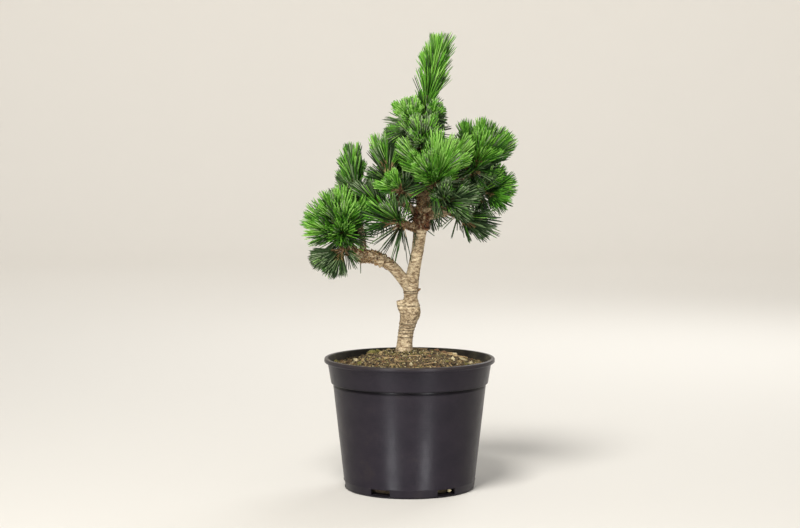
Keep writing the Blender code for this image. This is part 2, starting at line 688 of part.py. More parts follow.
def build_masses(paths, parts, work):
    dice = random.Random(SEED)
    crowd, bones = Crowd(), Crowd()
    for path in paths.values():
        for a, b in zip(path, path[1:]):
            crowd.add(Rod(a[:3], b[:3], a[3], b[3]), -1, -1)
    skeletons = [mass_skeleton(mass, paths[mass.limb], dice) for mass in MASSES.values()]
    for number, (stem, shoots) in enumerate(skeletons):
        knot = stem._replace(tip_radius=KNUCKLE_RADIUS)
        for index, rod in enumerate((knot, *shoots)):
            crowd.add(rod, number, index)
            bones.add(rod, number, index)
    solids = {}
    for number, (name, mass) in enumerate(MASSES.items()):
        stem, shoots = skeletons[number]
        pieces = [rod_body(stem, LIMB_SIDES)]
        for index, shoot in enumerate(shoots):
            body = shoot_body(shoot)
            grow(body, lambda face: shoot_needle(face, shoot, mass.needle_length, dice),
                 number, index + 1, crowd, bones)
            pieces.append(body)
        knuckle = knuckle_body(stem.tip)
        grow(knuckle, lambda face: skirt_needle(face, mass, stem.tip, dice), number, 0, crowd, bones)
        solids[name] = fused(name, knuckle, pieces, parts, work)
    return solids


def shade(obj, material):
    obj.data.materials.clear()
    obj.data.materials.append(material)
    obj.data.shade_smooth()
    obj.data.set_sharp_from_angle(angle=math.radians(SHARP_FROM_DEG))


def main():
    clear_scene()
    parts = new_collection("potted_pine")
    cutters = new_collection("cutters")
    work = new_collection("rods")
    materials = {name: new_material(name) for name in COLOURS}
    shade(build_pot(parts, cutters), materials["pot"])
    shade(build_soil(parts), materials["soil"])
    paths = limb_paths()
    for limb in build_limbs(paths, parts, cutters).values():
        shade(limb, materials["bark"])
    for name, solid in build_masses(paths, parts, work).items():
        shade(solid, materials[MASSES[name].tone])


main()
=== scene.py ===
"""The looks of the small potted pine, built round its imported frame.

Metres, +Z up. The origin is the middle of the pot's flat underside, and -Y is the plant's front.
Limbs and masses repeat the named values and the growing rule of the part's source. Here the masses
are carried on to side twigs and to many more and thinner needles, within the same reach.
"""

import math
import random
from typing import NamedTuple

import bmesh
import bpy
import numpy as np
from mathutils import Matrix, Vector, noise


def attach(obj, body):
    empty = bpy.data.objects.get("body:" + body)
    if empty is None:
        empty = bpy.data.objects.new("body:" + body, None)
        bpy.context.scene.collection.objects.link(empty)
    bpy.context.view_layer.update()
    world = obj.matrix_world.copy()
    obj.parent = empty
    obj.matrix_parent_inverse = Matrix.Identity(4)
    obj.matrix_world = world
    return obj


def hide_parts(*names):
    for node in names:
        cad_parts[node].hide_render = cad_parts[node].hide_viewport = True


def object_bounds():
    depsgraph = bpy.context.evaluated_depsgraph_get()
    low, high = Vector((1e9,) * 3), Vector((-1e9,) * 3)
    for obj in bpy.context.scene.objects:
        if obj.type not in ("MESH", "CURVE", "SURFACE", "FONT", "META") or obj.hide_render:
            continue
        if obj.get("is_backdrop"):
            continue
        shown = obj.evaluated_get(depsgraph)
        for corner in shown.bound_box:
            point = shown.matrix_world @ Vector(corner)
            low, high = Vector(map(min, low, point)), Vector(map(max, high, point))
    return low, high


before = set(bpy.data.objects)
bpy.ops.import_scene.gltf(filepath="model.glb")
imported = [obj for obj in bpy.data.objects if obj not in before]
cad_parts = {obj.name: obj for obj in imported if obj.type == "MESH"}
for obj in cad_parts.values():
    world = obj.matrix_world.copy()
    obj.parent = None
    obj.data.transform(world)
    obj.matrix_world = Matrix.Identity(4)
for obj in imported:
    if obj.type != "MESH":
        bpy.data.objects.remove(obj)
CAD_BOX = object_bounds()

BODY = "root"
SEED = 4
CLEARANCE = 0.0003
PIECE_TRIANGLES = 190000
GOLDEN_ANGLE = math.pi * (3 - math.sqrt(5))
NEARLY_ALONG_Y = 0.9
MERGE_WITHIN = 0.00001

# Camera, at the photograph's viewing angle
CAMERA_PLACE = (-0.028, -1.8482, 0.3724)
CAMERA_TURN = (math.pi / 2 - 0.0733, 0.0, -0.0097)
CAMERA_LENS = 79.26
CAMERA_SENSOR = 36.0

# Pot, as in the part's source, with rounder edges
POT_HEIGHT = 0.138
POT_BASE_RADIUS = 0.0685
POT_BODY_TOP_RADIUS = 0.0806
POT_COLLAR_FOOT_RADIUS = 0.083
POT_COLLAR_TOP_RADIUS = 0.0862
POT_LIP_RADIUS = 0.09
POT_COLLAR_FOOT_Z = 0.1115
POT_LIP_DEPTH = 0.0048
POT_WALL = 0.002
POT_FLOOR = 0.0024
POT_LIP_ROUND = 0.0014
POT_COLLAR_STEP = 0.0008
POT_FOOT_BEVEL = 0.0012
POT_FOOT_BAND_Z = 0.0098
POT_FOOT_BAND_PROUD = 0.0003
POT_LEDGE_Z = POT_COLLAR_FOOT_Z + POT_WALL / 2
POT_GROOVE = 0.0009
POT_GROOVE_HEIGHT = 0.0016
POT_LIP_FLARE = 0.0002
POT_FOOT_BAND_EDGE = 0.0006
POT_GLOSS = 0.17
POT_ANISOTROPY = 0.55
POT_ANISOTROPY_TURN = 0.25
POT_STOPS = (
    (0.3, (0.0125, 0.0104, 0.015)), (0.6, (0.018, 0.0146, 0.02)), (0.85, (0.03, 0.025, 0.024)))
# Shares of the pot's height, and the share of its colour left there: darker at the foot, and painted shade
# with grime under the collar
POT_GRIME_AND_PAINTED_SHADE = ((0.0, 0.6), (0.02, 1.0), (0.78, 1.0), (0.797, 0.25), (0.8085, 0.25), (0.818, 1.0))
POT_DUSTY_FROM = 0.975
POT_DUST = (0.105, 0.085, 0.064)
POT_FACES_IN = -0.3
POT_STEPS = 180
ARC_STEPS = 5
SLOT_COUNT = 6
SLOT_TURN_DEG = 3.0
SLOT_WIDTH = 0.022
SLOT_FOOT_Z = 0.0018
SLOT_TOP_Z = 0.0085
SLOT_REACH = 0.012
SHARP_FROM_DEG = 35

# Soil
SOIL_TOP_Z = 0.1432
SOIL_FLAT_RADIUS = 0.021
SOIL_EDGE_Z = 0.1305
SOIL_FOOT_SETBACK = 0.009
SOIL_FOOT_HEIGHT = 0.012
SOIL_RINGS = 70
SOIL_STEPS = 200
SOIL_LUMP = 0.0016
COARSE_LUMP_SCALE, COARSE_LUMP_SHARE, COARSE_LUMP_SEED = 70, 0.6, 3
FINE_LUMP_SCALE, FINE_LUMP_SHARE, FINE_LUMP_SEED = 260, 0.4, 9
SOIL_MIDDLE_RADIUS = 0.0008
SOIL_EDGE_OVERLAP = 0.0004
GRAIN_COUNT = 6000
GRAIN_DENTS = (0.72, 1.18)
GRAIN_SQUASH = (0.6, 1.15)
GRAIN_MARGIN = 0.001
MOSS_RADIUS = 0.03
GRAIN_RADII = (0.0005, 0.0014)
CLOD_COUNT = 90
CLODS_FROM_RADIUS = 0.035
CLOD_RADII = (0.0018, 0.0034)
TUFT_GRAINS = 700
TUFT_RADIUS = 0.026
TUFT_HEIGHT = 0.005
TUFT_RADII = (0.0005, 0.0011)
FALLEN_COUNT = 34
FALLEN_FROM_RADIUS, FALLEN_TO_RADIUS = 0.012, 0.066
FALLEN_LENGTHS = (0.01, 0.022)
FALLEN_NEEDLE_RADIUS = 0.0005
FALLEN_BEND = 0.12
FALLEN_TILT = 0.05
FALLEN_ROOT_LIFT, FALLEN_TIP_LIFT = 0.0011, 0.0012
SLOT_CLOD_TURN_DEG = -50
SLOT_CLOD_SETBACK = 0.0055
SLOT_CLOD_Z = 0.0052
SLOT_CLOD_RADIUS = 0.0036

# Trunk: x, y, z and radius at each station
TRUNK = (
    (-0.006, 0.0, 0.138, 0.0112),
    (-0.0056, 0.0, 0.144, 0.0096),
    (-0.0053, 0.0, 0.15, 0.0085),
    (-0.0042, 0.0, 0.162, 0.008),
    (-0.002, 0.0, 0.174, 0.0088),
    (0.0006, 0.0, 0.185, 0.0108),
    (0.0008, 0.0, 0.193, 0.0098),
    (0.0012, 0.0, 0.201, 0.0074),
    (0.0016, 0.0, 0.21, 0.0078),
    (0.0034, 0.0, 0.225, 0.007),
    (0.0083, 0.0, 0.251, 0.0063),
    (0.011, 0.0, 0.271, 0.0068),
    (0.0146, 0.0, 0.299, 0.0058),
    (0.0182, 0.001, 0.322, 0.005),
    (0.0193, 0.002, 0.356, 0.0038),
    (0.0172, 0.001, 0.376, 0.0031),
    (0.0166, 0.0, 0.388, 0.0027),
)
SPAN_STEPS = 2

# Boughs: radii at the root and at the tip, and the route, which starts inside the limb that bears it
BOUGHS = {
    "pruned_stub": (0.0046, 0.0036, (
        (-0.003, -0.001, 0.182), (-0.0085, -0.002, 0.1905), (-0.0104, -0.002, 0.1985))),
    "bough_left_lower": (0.0064, 0.0056, (
        (0.002, 0.0, 0.2085), (-0.007, -0.001, 0.221),
        (-0.019, -0.004, 0.235), (-0.03, -0.006, 0.2415))),
    "bough_left_outer": (0.006, 0.0046, (
        (-0.028, -0.006, 0.2405), (-0.04, -0.008, 0.2455), (-0.052, -0.01, 0.2455),
        (-0.0625, -0.012, 0.252), (-0.0675, -0.014, 0.2635))),
    "bough_left_under": (0.0032, 0.0026, (
        (-0.056, -0.011, 0.246), (-0.062, -0.02, 0.249), (-0.065, -0.024, 0.252))),
    "bough_left_upper": (0.0036, 0.0026, (
        (-0.048, -0.009, 0.245), (-0.05, 0.008, 0.264),
        (-0.054, 0.014, 0.285), (-0.0555, 0.014, 0.3))),
    "bough_left_back": (0.0034, 0.0026, (
        (-0.06, -0.01, 0.249), (-0.064, 0.008, 0.256), (-0.068, 0.02, 0.264))),
    "bough_low_centre": (0.0036, 0.0028, (
        (0.011, -0.001, 0.274), (0.001, -0.01, 0.277), (-0.006, -0.019, 0.279))),
    "bough_mid_left": (0.004, 0.0027, (
        (0.013, 0.001, 0.286), (-0.004, 0.008, 0.299),
        (-0.017, 0.008, 0.309), (-0.021, 0.005, 0.3195))),
    "bough_mid_low": (0.0028, 0.0023, (
        (-0.008, 0.008, 0.302), (-0.017, -0.002, 0.299), (-0.023, -0.006, 0.297))),
    "bough_inner_left": (0.003, 0.0022, (
        (0.017, 0.0, 0.311), (0.005, -0.012, 0.311), (-0.004, -0.019, 0.313))),
    "bough_right_upper": (0.0046, 0.003, (
        (0.0155, 0.0, 0.303), (0.034, -0.004, 0.314),
        (0.054, -0.006, 0.3245), (0.064, -0.006, 0.332))),
    "bough_right_low": (0.0046, 0.0029, (
        (0.014, 0.001, 0.286), (0.04, 0.004, 0.292),
        (0.064, 0.002, 0.303), (0.0722, 0.0, 0.3095))),
    "bough_right_under": (0.003, 0.0024, (
        (0.042, 0.004, 0.2935), (0.045, -0.006, 0.292), (0.048, -0.014, 0.29))),
    "bough_right_back": (0.0034, 0.0026, (
        (0.059, 0.003, 0.3005), (0.065, 0.018, 0.3055), (0.069, 0.027, 0.31))),
    "bough_right_front": (0.0034, 0.0027, (
        (0.014, -0.001, 0.292), (0.024, -0.014, 0.298), (0.031, -0.023, 0.302))),
    "bough_front": (0.004, 0.0028, ((0.0182, 0.0, 0.32), (0.0205, -0.014, 0.319), (0.024, -0.026, 0.321))),
    "bough_back": (0.0044, 0.003, ((0.0145, 0.001, 0.296), (0.011, 0.022, 0.308), (0.007, 0.034, 0.316))),
    "bough_back_low": (0.0034, 0.0026, ((0.012, 0.001, 0.28), (0.016, 0.018, 0.289), (0.02, 0.027, 0.295))),
    "bough_back_left": (0.004, 0.0027, (
        (0.0188, 0.002, 0.336), (0.008, 0.014, 0.34), (-0.001, 0.022, 0.345))),
    "bough_back_right": (0.004, 0.0028, (
        (0.0185, 0.001, 0.326), (0.032, 0.02, 0.332), (0.04, 0.028, 0.336))),
    "bough_crown_left": (0.0028, 0.0022, (
        (0.0175, 0.001, 0.368), (0.0105, -0.004, 0.3725), (0.007, -0.007, 0.3775))),
    "bough_crown_right": (0.0026, 0.0022, (
        (0.017, 0.001, 0.376), (0.0195, -0.008, 0.378), (0.02, -0.012, 0.381))),
    "bough_crown_front": (0.0028, 0.0023, (
        (0.019, 0.002, 0.35), (0.016, -0.009, 0.353), (0.014, -0.015, 0.357))),
    "bough_crown_back": (0.003, 0.0024, ((0.018, 0.001, 0.362), (0.019, 0.01, 0.366), (0.02, 0.015, 0.371))),
}


class Mass(NamedTuple):
    """A whorl of shoots at a limb's tip, and a skirt of older needles round the knuckle below it.

    The skirt is the band of the knuckle that lies between two angles from the aim.
    """

    aim: tuple
    shoots: int
    opening_deg: float
    turn_deg: float
    shoot_length: float
    needle_length: float
    skirt_from_deg: float
    skirt_to_deg: float
    skirt_length: float
    tone: str


MASSES = {
    "leader": Mass((0.2, 0.0, 1.0), 1, 0, 0, 0.06, 0.038, 50, 100, 0.026, "fresh"),
    "front": Mass((0.02, -0.42, 0.92), 6, 46, 15, 0.026, 0.037, 80, 130, 0.038, "fresh"),
    "left_dome": Mass((-0.4, -0.3, 0.9), 10, 72, 70, 0.018, 0.032, 100, 130, 0.026, "fresh"),
    "right_upper": Mass((0.34, -0.15, 0.94), 6, 38, 20, 0.0235, 0.031, 62, 130, 0.034, "fresh"),
    "low_centre": Mass((-0.62, -0.4, 0.45), 4, 50, 200, 0.012, 0.038, 50, 165, 0.041, "green"),
    "crown_left": Mass((-0.34, -0.35, 0.88), 4, 36, 40, 0.011, 0.02, 52, 130, 0.035, "fresh"),
    "crown_right": Mass((0.2, -0.5, 0.82), 2, 24, 10, 0.01, 0.016, 60, 130, 0.018, "green"),
    "crown_front": Mass((-0.2, -0.6, 0.8), 4, 46, 30, 0.014, 0.029, 75, 125, 0.032, "green"),
    "crown_back": Mass((-0.25, 0.75, 0.62), 3, 44, 80, 0.015, 0.027, 75, 125, 0.03, "green"),
    "left_upper": Mass((-0.05, 0.7, 0.9), 3, 34, 170, 0.024, 0.032, 45, 140, 0.03, "green"),
    "mid_left": Mass((0.02, -0.12, 1.0), 3, 22, 60, 0.018, 0.034, 52, 130, 0.03, "green"),
    "right_low": Mass((0.9, -0.2, 0.3), 5, 56, 90, 0.012, 0.024, 80, 130, 0.03, "fresh"),
    "right_front": Mass((0.8, -0.55, 0.12), 4, 56, 10, 0.012, 0.032, 75, 130, 0.032, "old"),
    "right_under": Mass((0.88, -0.3, -0.38), 3, 26, 210, 0.012, 0.034, 65, 110, 0.026, "old"),
    "mid_low": Mass((-0.85, 0.05, 0.2), 3, 48, 0, 0.01, 0.034, 75, 120, 0.03, "old"),
    "inner_left": Mass((-0.9, -0.35, 0.25), 2, 40, 0, 0.009, 0.021, 60, 120, 0.026, "fresh"),
    "left_under": Mass((-0.74, -0.3, -0.4), 3, 36, 120, 0.011, 0.026, 75, 110, 0.022, "old"),
    "right_back": Mass((0.6, 0.75, 0.35), 3, 50, 30, 0.016, 0.029, 80, 125, 0.034, "green"),
    "back": Mass((-0.2, 0.65, 0.65), 4, 50, 0, 0.021, 0.033, 80, 130, 0.036, "fresh"),
    "back_right": Mass((0.62, 0.55, 0.62), 4, 46, 25, 0.016, 0.03, 75, 125, 0.034, "fresh"),
    "back_left": Mass((-0.34, 0.5, 0.75), 4, 44, 70, 0.015, 0.028, 75, 125, 0.032, "green"),
    "left_back": Mass((-0.35, 0.75, 0.5), 3, 52, 0, 0.016, 0.031, 80, 125, 0.034, "green"),
    "back_low": Mass((0.2, 0.8, 0.2), 3, 46, 0, 0.012, 0.031, 70, 115, 0.028, "old"),
}
# Every other mass stands on the bough of its own name
OTHER_LIMBS = {"leader": "trunk", "left_dome": "bough_left_outer"}
STEM_LENGTH = 0.006
KNUCKLE_RADIUS = 0.0044
SHOOT_BARE = 0.0065
SHOOT_SHORTEST, SHOOT_LONGEST = 0.85, 1.1
SHOOT_JITTER_DEG = 5.0
NEEDLE_ROOT_ANGLE_DEG = 38.0
NEEDLE_TIP_ANGLE_DEG = 13.0
NEEDLE_SHORTER_BY = 0.16
NEEDLE_FREE_FROM = 0.18
NEEDLE_GAP = 0.0004
RIVAL_SHARE = 0.45
CROWN_TOP_Z = 0.4795

# What the looks add to the source's rule
TWIG_ROOT_RADIUS = 0.0017
TWIG_TIP_RADIUS = 0.0011
TWIG_SIDES = 6
SIDE_TWIGS = 2
SIDE_TWIG_FROM = 0.38
SIDE_TWIG_STRETCH = 0.42
SIDE_TWIG_MOST = 0.45
SIDE_TWIG_SHORTEST, SIDE_TWIG_LONGEST = 0.8, 1.1
SIDE_TWIG_TAPER = 0.8
SIDE_TWIG_OPENING_DEG = 28.0
SIDE_TWIG_LENGTH = 0.007
SIDE_TWIG_BARE = 0.001
SIDE_TWIG_NEEDLES = 0.8
SIDE_TWIG_LEAN = 0.55
SPRAYS_PER_METRE = 3700
FEWEST_SPRAYS = 5
TIP_SPRAYS = 13
SIDE_TIP_SPRAYS = 7
SKIRT_SPRAYS = 80
FEWEST_SKIRT_SPRAYS = 4
LIMB_SPRAY_LEVEL_DROP = 1.2
LIMB_SPRAY_LEAN_DEG = (52.0, 34.0)
FOOT_SPRAY_LEAN_DEG = (52.0, 38.0)
FOOT_NEEDLES = 0.72
SKIRT_DEPTH = 0.007
NEEDLES_PER_SPRAY = 2
SPRAY_OPENING_DEG = 3.0
LEAN_JITTER_DEG = 2.0
NEEDLE_RADIUS = 0.00058
NEEDLE_RINGS = (0.0, 0.3, 0.9)
NEEDLE_RING_SIZES = (0.75, 1.0, 0.85)
NEEDLE_SIDES = 3
INWARD_BEND = 0.05
DROOP_BEND = 0.07
SHEATH_LENGTH = 0.0042
SHEATH_RADIUS = 0.00075
SHEATH_SHOULDER = 0.6
SHEATH_SHARES = (0.25, 0.35, 0.4)
TURN_JITTER = 0.15
SKIRT_TURN_JITTER = 0.1
ROOT_SINK = 0.6
SKIRT_ROOT_SINK = 0.5
NEEDLE_UNEVEN_BY = 0.06
NEEDLES_APART = 0.7
REACH_SHARE = 0.96
PROBES = 8
FRONT_FREE_FROM = 0.15
TWIG_MIDDLE, TWIG_BUD, TWIG_BUD_END = 0.5, 0.9, 0.97
TWIG_BUD_SIZE, TWIG_BUD_END_SIZE = 1.3, 0.9
KNOT_SINK = 0.2
KNOT_TIP_SIZE = 0.7

# Papery scales
SCALE_FOLD_AT = 0.45
SCALE_FOLD_DEPTH = 0.25
KNUCKLE_SCALES = 70
KNUCKLE_SCALE_SINK = 0.55
KNUCKLE_SCALE_LEAN = 0.9
KNUCKLE_SCALE_JITTER = 0.25
KNUCKLE_SCALE_LENGTHS = (0.003, 0.0052)
KNUCKLE_SCALE_WIDTHS = (0.001, 0.0019)
KNUCKLE_SCALE_SHARES = (0.25, 0.3, 0.3, 0.15)
LIMB_SCALE_SINK = 0.93
LIMB_SCALE_JITTER_DEG = 10
LIMB_SCALE_LENGTHS = (0.0022, 0.0044)
LIMB_SCALE_WIDTHS = (0.001, 0.002)
AXIS_STRIDE = 0.001
# Limb, from and to as shares of its length, scales per metre, their lift, their browns and their size
SCALY_LIMBS = (
    ("bough_left_outer", 0.05, 1.0, 22000, 46, (0.04, 0.12, 0.34, 0.5), 1.0),
    ("bough_left_lower", 0.72, 1.0, 9000, 34, (0.06, 0.14, 0.35, 0.45), 0.8),
    ("trunk", 0.54, 0.612, 30000, 56, (0.26, 0.46, 0.22, 0.06), 1.25),
    ("trunk", 0.612, 0.76, 17000, 40, (0.1, 0.12, 0.36, 0.42), 1.1),
    ("bough_low_centre", 0.1, 1.0, 16000, 44, (0.08, 0.16, 0.36, 0.4), 0.9),
    ("trunk", 0.76, 1.0, 11000, 26, (0.12, 0.18, 0.4, 0.3), 0.9),
)
SMOOTH_LIMBS = ("pruned_stub", "bough_left_lower", "bough_left_outer")
# Every other bough: from and to as shares, scales per metre, lift, browns and size
THIN_SCALES = (0.15, 1.0, 3200, 24, (0.2, 0.25, 0.35, 0.2), 0.85)

# Bark
BARK_FINER = 4
BARK_STEP = 0.00055
TRUNK_SIDES = 64
LIMB_SIDES = 32
FLARE_LENGTH = 0.009
FLARE = 0.4
WRINKLES_Z = (0.16, 0.164, 0.1672, 0.1702, 0.174, 0.1932, 0.2062, 0.2085)
WRINKLE_HEIGHT = 0.00055
WRINKLE_WIDTH = 0.00055
WRINKLE_SHADE = 0.28
WRINKLE_SHADE_REACH = 0.0008
WRINKLE_MARGIN = 0.01
BROWN_FROM_Z = 0.268
BROWN_TO_Z = 0.28
CROWN_BROWN_SHARE = 0.5
CRACKED_Z = (0.172, 0.176, 0.186, 0.19)
CRACKED_SHARES = (0.0, 0.75, 0.75, 0.0)
BULGE_Z = (0.176, 0.197)
BULGE_PIT = 0.0009
BULGE_PIT_FROM = 0.12
BULGE_PIT_GAIN = 2.2
BULGE_PIT_SCALE = (420, 420)
GRAIN_RELIEF, GRAIN_SCALE = 0.00022, (260, 900)
FLECK_RELIEF, FLECK_SCALE, FLECK_SHIFT = 0.0001, (520, 1300), 7
LUMP_RELIEF, LUMP_SCALE = 0.00045, (110, 130)
CRACK_RELIEF, CRACK_SCALE = 0.00024, (330, 520)
CRACK_WIDTH = 0.3
CRACK_MEAN = 0.6
FULL_RELIEF_RADIUS = 0.007
WRINKLED_RADIUS = 0.0068
WRINKLE_WANDER = 0.0006
CUT_HOLLOW = 0.0003
BOUGH_SHARP_FROM_DEG = 50

# Plain shades of the needles: fresh ones from dark to pale, dull ones from dark to pale, then feet
SHADES = {
    "fresh_0": (0.014, 0.048, 0.006),
    "fresh_1": (0.034, 0.12, 0.01),
    "fresh_2": (0.066, 0.215, 0.016),
    "fresh_3": (0.112, 0.32, 0.028),
    "fresh_4": (0.165, 0.41, 0.04),
    "fresh_5": (0.28, 0.53, 0.105),
    "dull_0": (0.014, 0.03, 0.01),
    "dull_1": (0.034, 0.066, 0.022),
    "dull_2": (0.068, 0.118, 0.042),
    "dull_3": (0.115, 0.178, 0.072),
    "dull_4": (0.19, 0.262, 0.128),
    "dull_5": (0.29, 0.36, 0.205),
    "foot_tan": (0.33, 0.235, 0.1),
    "foot_brown": (0.17, 0.105, 0.045),
}
NEEDLE_ROUGHNESS, NEEDLE_GLOSS = 0.45, 0.16
BROWN_ROUGHNESS, BROWN_GLOSS = 0.75, 0.3
PALEST = 5
TONE_LEVELS = {"fresh": 2.7, "green": 2.3, "old": 1.7}
DULL_SHARES = {"fresh": 0.12, "green": 0.38, "old": 0.85}
SKIRT_DULL_SHARE = 0.75
BROWN_FOOT_SHARE = 0.4
# Painted shade: a foot that is not brown is set this many levels darker, for the dark inside of a mass
FOOT_PAINTED_SHADE_DROP = 2
# A needle's pale side is partly a real stomatal band and partly a painted highlight
PALE_SIDE_AND_HIGHLIGHT_GAIN = 1
# Sprays are paler towards a shoot's tip for new growth, and darker towards its root as painted shade deep in
# the mass
TIP_GROWTH_AND_SHADE_GAIN = 1.6
# Painted light: needles that point up are set paler and those that point down darker, as if lit from above
UPRIGHT_PAINTED_LIGHT_GAIN = 1.1
LEVEL_SPREAD = 1.75
SHOOT_LEVEL_SPREAD = 0.45
SKIRT_LEVEL_DROP = 0.8


class Look(NamedTuple):
    """How a mass departs from its tone's level and from the plain thickness of its sprays.

    Its sprays lean by an angle that changes from a shoot's root to its tip, times a random share.
    Older needles also grow on its limb, from a share of the limb's length to the knuckle. Shorter
    ones may stand round the foot of each shoot, so many times as thick as on the shoot. The skirt
    is so many times as thick, and the shoots' needles so many times as long, as elsewhere.
    """

    level: float = 0.0
    thickness: float = 1.0
    root_lean_deg: float = NEEDLE_ROOT_ANGLE_DEG
    tip_lean_deg: float = NEEDLE_TIP_ANGLE_DEG
    least_share: float = 0.42
    skirt: float = 1.0
    limb_from: float = 1.0
    longer: float = 1.0
    foot: float = 0.0


# A mass's level is partly painted light and shade: it sets the whole mass darker or paler for the light it
# sits in, besides its own tone
LOOKS = {
    "leader": Look(-0.2, 1.1, 42.0, 31.0, 0.4, limb_from=0.955, foot=1.2),
    "front": Look(0.7, 1.0, 38.0, 14.0, 0.25, skirt=2.2, foot=1.2),
    "left_dome": Look(-0.5, 1.05, 44.0, 38.0, 0.2, foot=0.6),
    "right_upper": Look(-1.1, 1.15, 40.0, 21.0, 0.2, limb_from=0.45, foot=0.8),
    "right_low": Look(-1.1, 1.0, 56.0, 44.0, 0.2, limb_from=0.45),
    "low_centre": Look(-1.0, 0.45),
    "right_front": Look(0.1, 1.2, 34.0, 16.0, 0.25, skirt=0.2, limb_from=0.05),
    "right_under": Look(-0.4, 0.22, 30.0, 14.0, 0.35, skirt=0.6, foot=0.3),
    "left_under": Look(0.2, 0.8, 36.0, 20.0, 0.2, skirt=0.9, longer=1.2),
    "left_upper": Look(-0.3, 1.25, 32.0, 22.0, 0.25, skirt=2.2),
    "mid_low": Look(-0.4, 0.8),
    "mid_left": Look(-0.6, 0.85, 24.0, 12.0, 0.35, skirt=3.4),
    "crown_front": Look(0.7, 0.95, skirt=0.6, longer=0.92),
    "crown_back": Look(0.0, 0.9, skirt=0.5, longer=0.85),
    "crown_left": Look(0.2, 1.0, skirt=2.2),
    "crown_right": Look(0.0, 1.2, skirt=0.5, foot=1.0),
}

# The stretch of trunk that stays bare in front, as the corners of a box that needles keep out of
BARE_FRONT = ((0.002, -0.07, 0.215), (0.019, -0.003, 0.312))

BROWNS = {
    "scale_dark": (0.045, 0.022, 0.012),
    "scale_red": (0.17, 0.07, 0.034),
    "scale_brown": (0.2, 0.115, 0.052),
    "scale_tan": (0.43, 0.29, 0.14),
}
GRAINS = {
    "grain_black": (0.02, 0.015, 0.008),
    "grain_brown": (0.09, 0.058, 0.024),
    "grain_rust": (0.165, 0.088, 0.036),
    "grain_tan": (0.3, 0.215, 0.092),
    "grain_olive": (0.165, 0.145, 0.036),
    "grain_pale": (0.5, 0.42, 0.24),
}

# Shares of the grit's colours, in their order above
LOOSE_SHARES = (0.24, 0.26, 0.1, 0.22, 0.12, 0.06)
MOSSY_SHARES = (0.28, 0.16, 0.04, 0.16, 0.27, 0.09)
CLOD_SHARES = (0.08, 0.3, 0.2, 0.22, 0.15, 0.05)
TUFT_SHARES = (0.3, 0.14, 0.02, 0.18, 0.24, 0.12)

# Large lumps on the soil: x, y, radius and shade
BIG_CLODS = (
    (-0.039, 0.012, 0.0062, "grain_olive"),
    (-0.033, 0.02, 0.0045, "grain_olive"),
    (-0.022, 0.015, 0.0042, "grain_tan"),
    (-0.056, -0.008, 0.004, "grain_pale"),
    (-0.049, -0.018, 0.0034, "grain_tan"),
    (-0.03, -0.005, 0.0036, "grain_tan"),
    (0.056, -0.002, 0.0058, "grain_pale"),
    (0.048, 0.012, 0.005, "grain_pale"),
    (0.045, -0.02, 0.0042, "grain_pale"),
    (0.064, -0.012, 0.0044, "grain_pale"),
    (0.036, 0.006, 0.0048, "grain_rust"),
    (0.029, 0.016, 0.0042, "grain_rust"),
    (0.02, -0.026, 0.0036, "grain_rust"),
    (-0.01, 0.042, 0.0046, "grain_brown"),
    (0.025, 0.045, 0.005, "grain_olive"),
)
GRAIN_DARKER, GRAIN_LIGHTER = 0.55, 1.25
MOSS_COLOUR = (0.085, 0.08, 0.022)

# Stops of the bark's flecks, warm patches and streaks
BARK_STOPS = (
    (0.34, (0.2, 0.14, 0.08)), (0.44, (0.43, 0.325, 0.185)),
    (0.57, (0.61, 0.49, 0.3)), (0.72, (0.8, 0.69, 0.47)))
PATCH_STOPS = (0.38, (0.27, 0.19, 0.105)), (0.62, (0.65, 0.54, 0.36))
STREAK_STOPS = (0.4, (0.34, 0.26, 0.19)), (0.48, (0.84, 0.81, 0.78)), (0.6, 1.16)
CRACK_COLOUR = (0.1, 0.07, 0.04)
CROWN_BROWN = (0.215, 0.155, 0.072)


class Finish(NamedTuple):
    """A surface whose colour and relief both follow one noise."""

    roughness: float
    scale: tuple
    detail: float
    wear: float
    stops: tuple
    relief: float
    strength: float
    gloss: float = 0.5


CUT_WOOD_FINISH = Finish(0.85, (500, 500, 200), 3.0, 0.6, (
    (0.35, (0.12, 0.072, 0.038)), (0.65, (0.33, 0.225, 0.125))), 0.0003, 0.7)
TWIG_FINISH = Finish(0.8, (500, 500, 700), 4.0, 0.6, (
    (0.32, (0.06, 0.035, 0.018)), (0.52, (0.2, 0.115, 0.052)), (0.7, (0.33, 0.215, 0.1))),
    0.0003, 0.8)
POT_INSIDE_FINISH = Finish(0.62, (60, 60, 130), 5.0, 0.65, (
    (0.34, (0.022, 0.019, 0.017)), (0.55, (0.05, 0.044, 0.03)), (0.74, (0.11, 0.092, 0.058))),
    0.0003, 0.5, 0.25)
SOIL_FINISH = Finish(0.95, (520, 520, 520), 6.0, 0.7, (
    (0.34, (0.028, 0.018, 0.01)), (0.5, (0.095, 0.06, 0.03)),
    (0.66, (0.2, 0.14, 0.07)), (0.8, (0.42, 0.34, 0.21))), 0.0012, 0.9)
GRAIN_FINISH = Finish(0.92, (900, 900, 900), 3.0, 0.6, (), 0.0003, 0.7)


class Rod(NamedTuple):
    """A straight tapering piece: a length of limb, a stem or a shoot."""

    root: np.ndarray
    tip: np.ndarray
    root_radius: float
    tip_radius: float


# Lone needles on bare limbs: where each starts, where it ends and its level of shade
STRAYS = (
    ((-0.0515, -0.014, 0.24), (-0.0512, -0.018, 0.2275), 1.0),
    ((0.016, -0.004, 0.274), (0.0262, -0.01, 0.2665), 1.0),
    ((0.003, -0.006, 0.272), (0.0085, -0.012, 0.263), 0.5),
    ((0.006, -0.005, 0.27), (0.004, -0.01, 0.253), 0.5),
)
DEAD_SPUR = Rod(
    np.array((0.008, -0.003, 0.208)), np.array((0.0112, -0.0045, 0.211)), 0.0013, 0.0008)

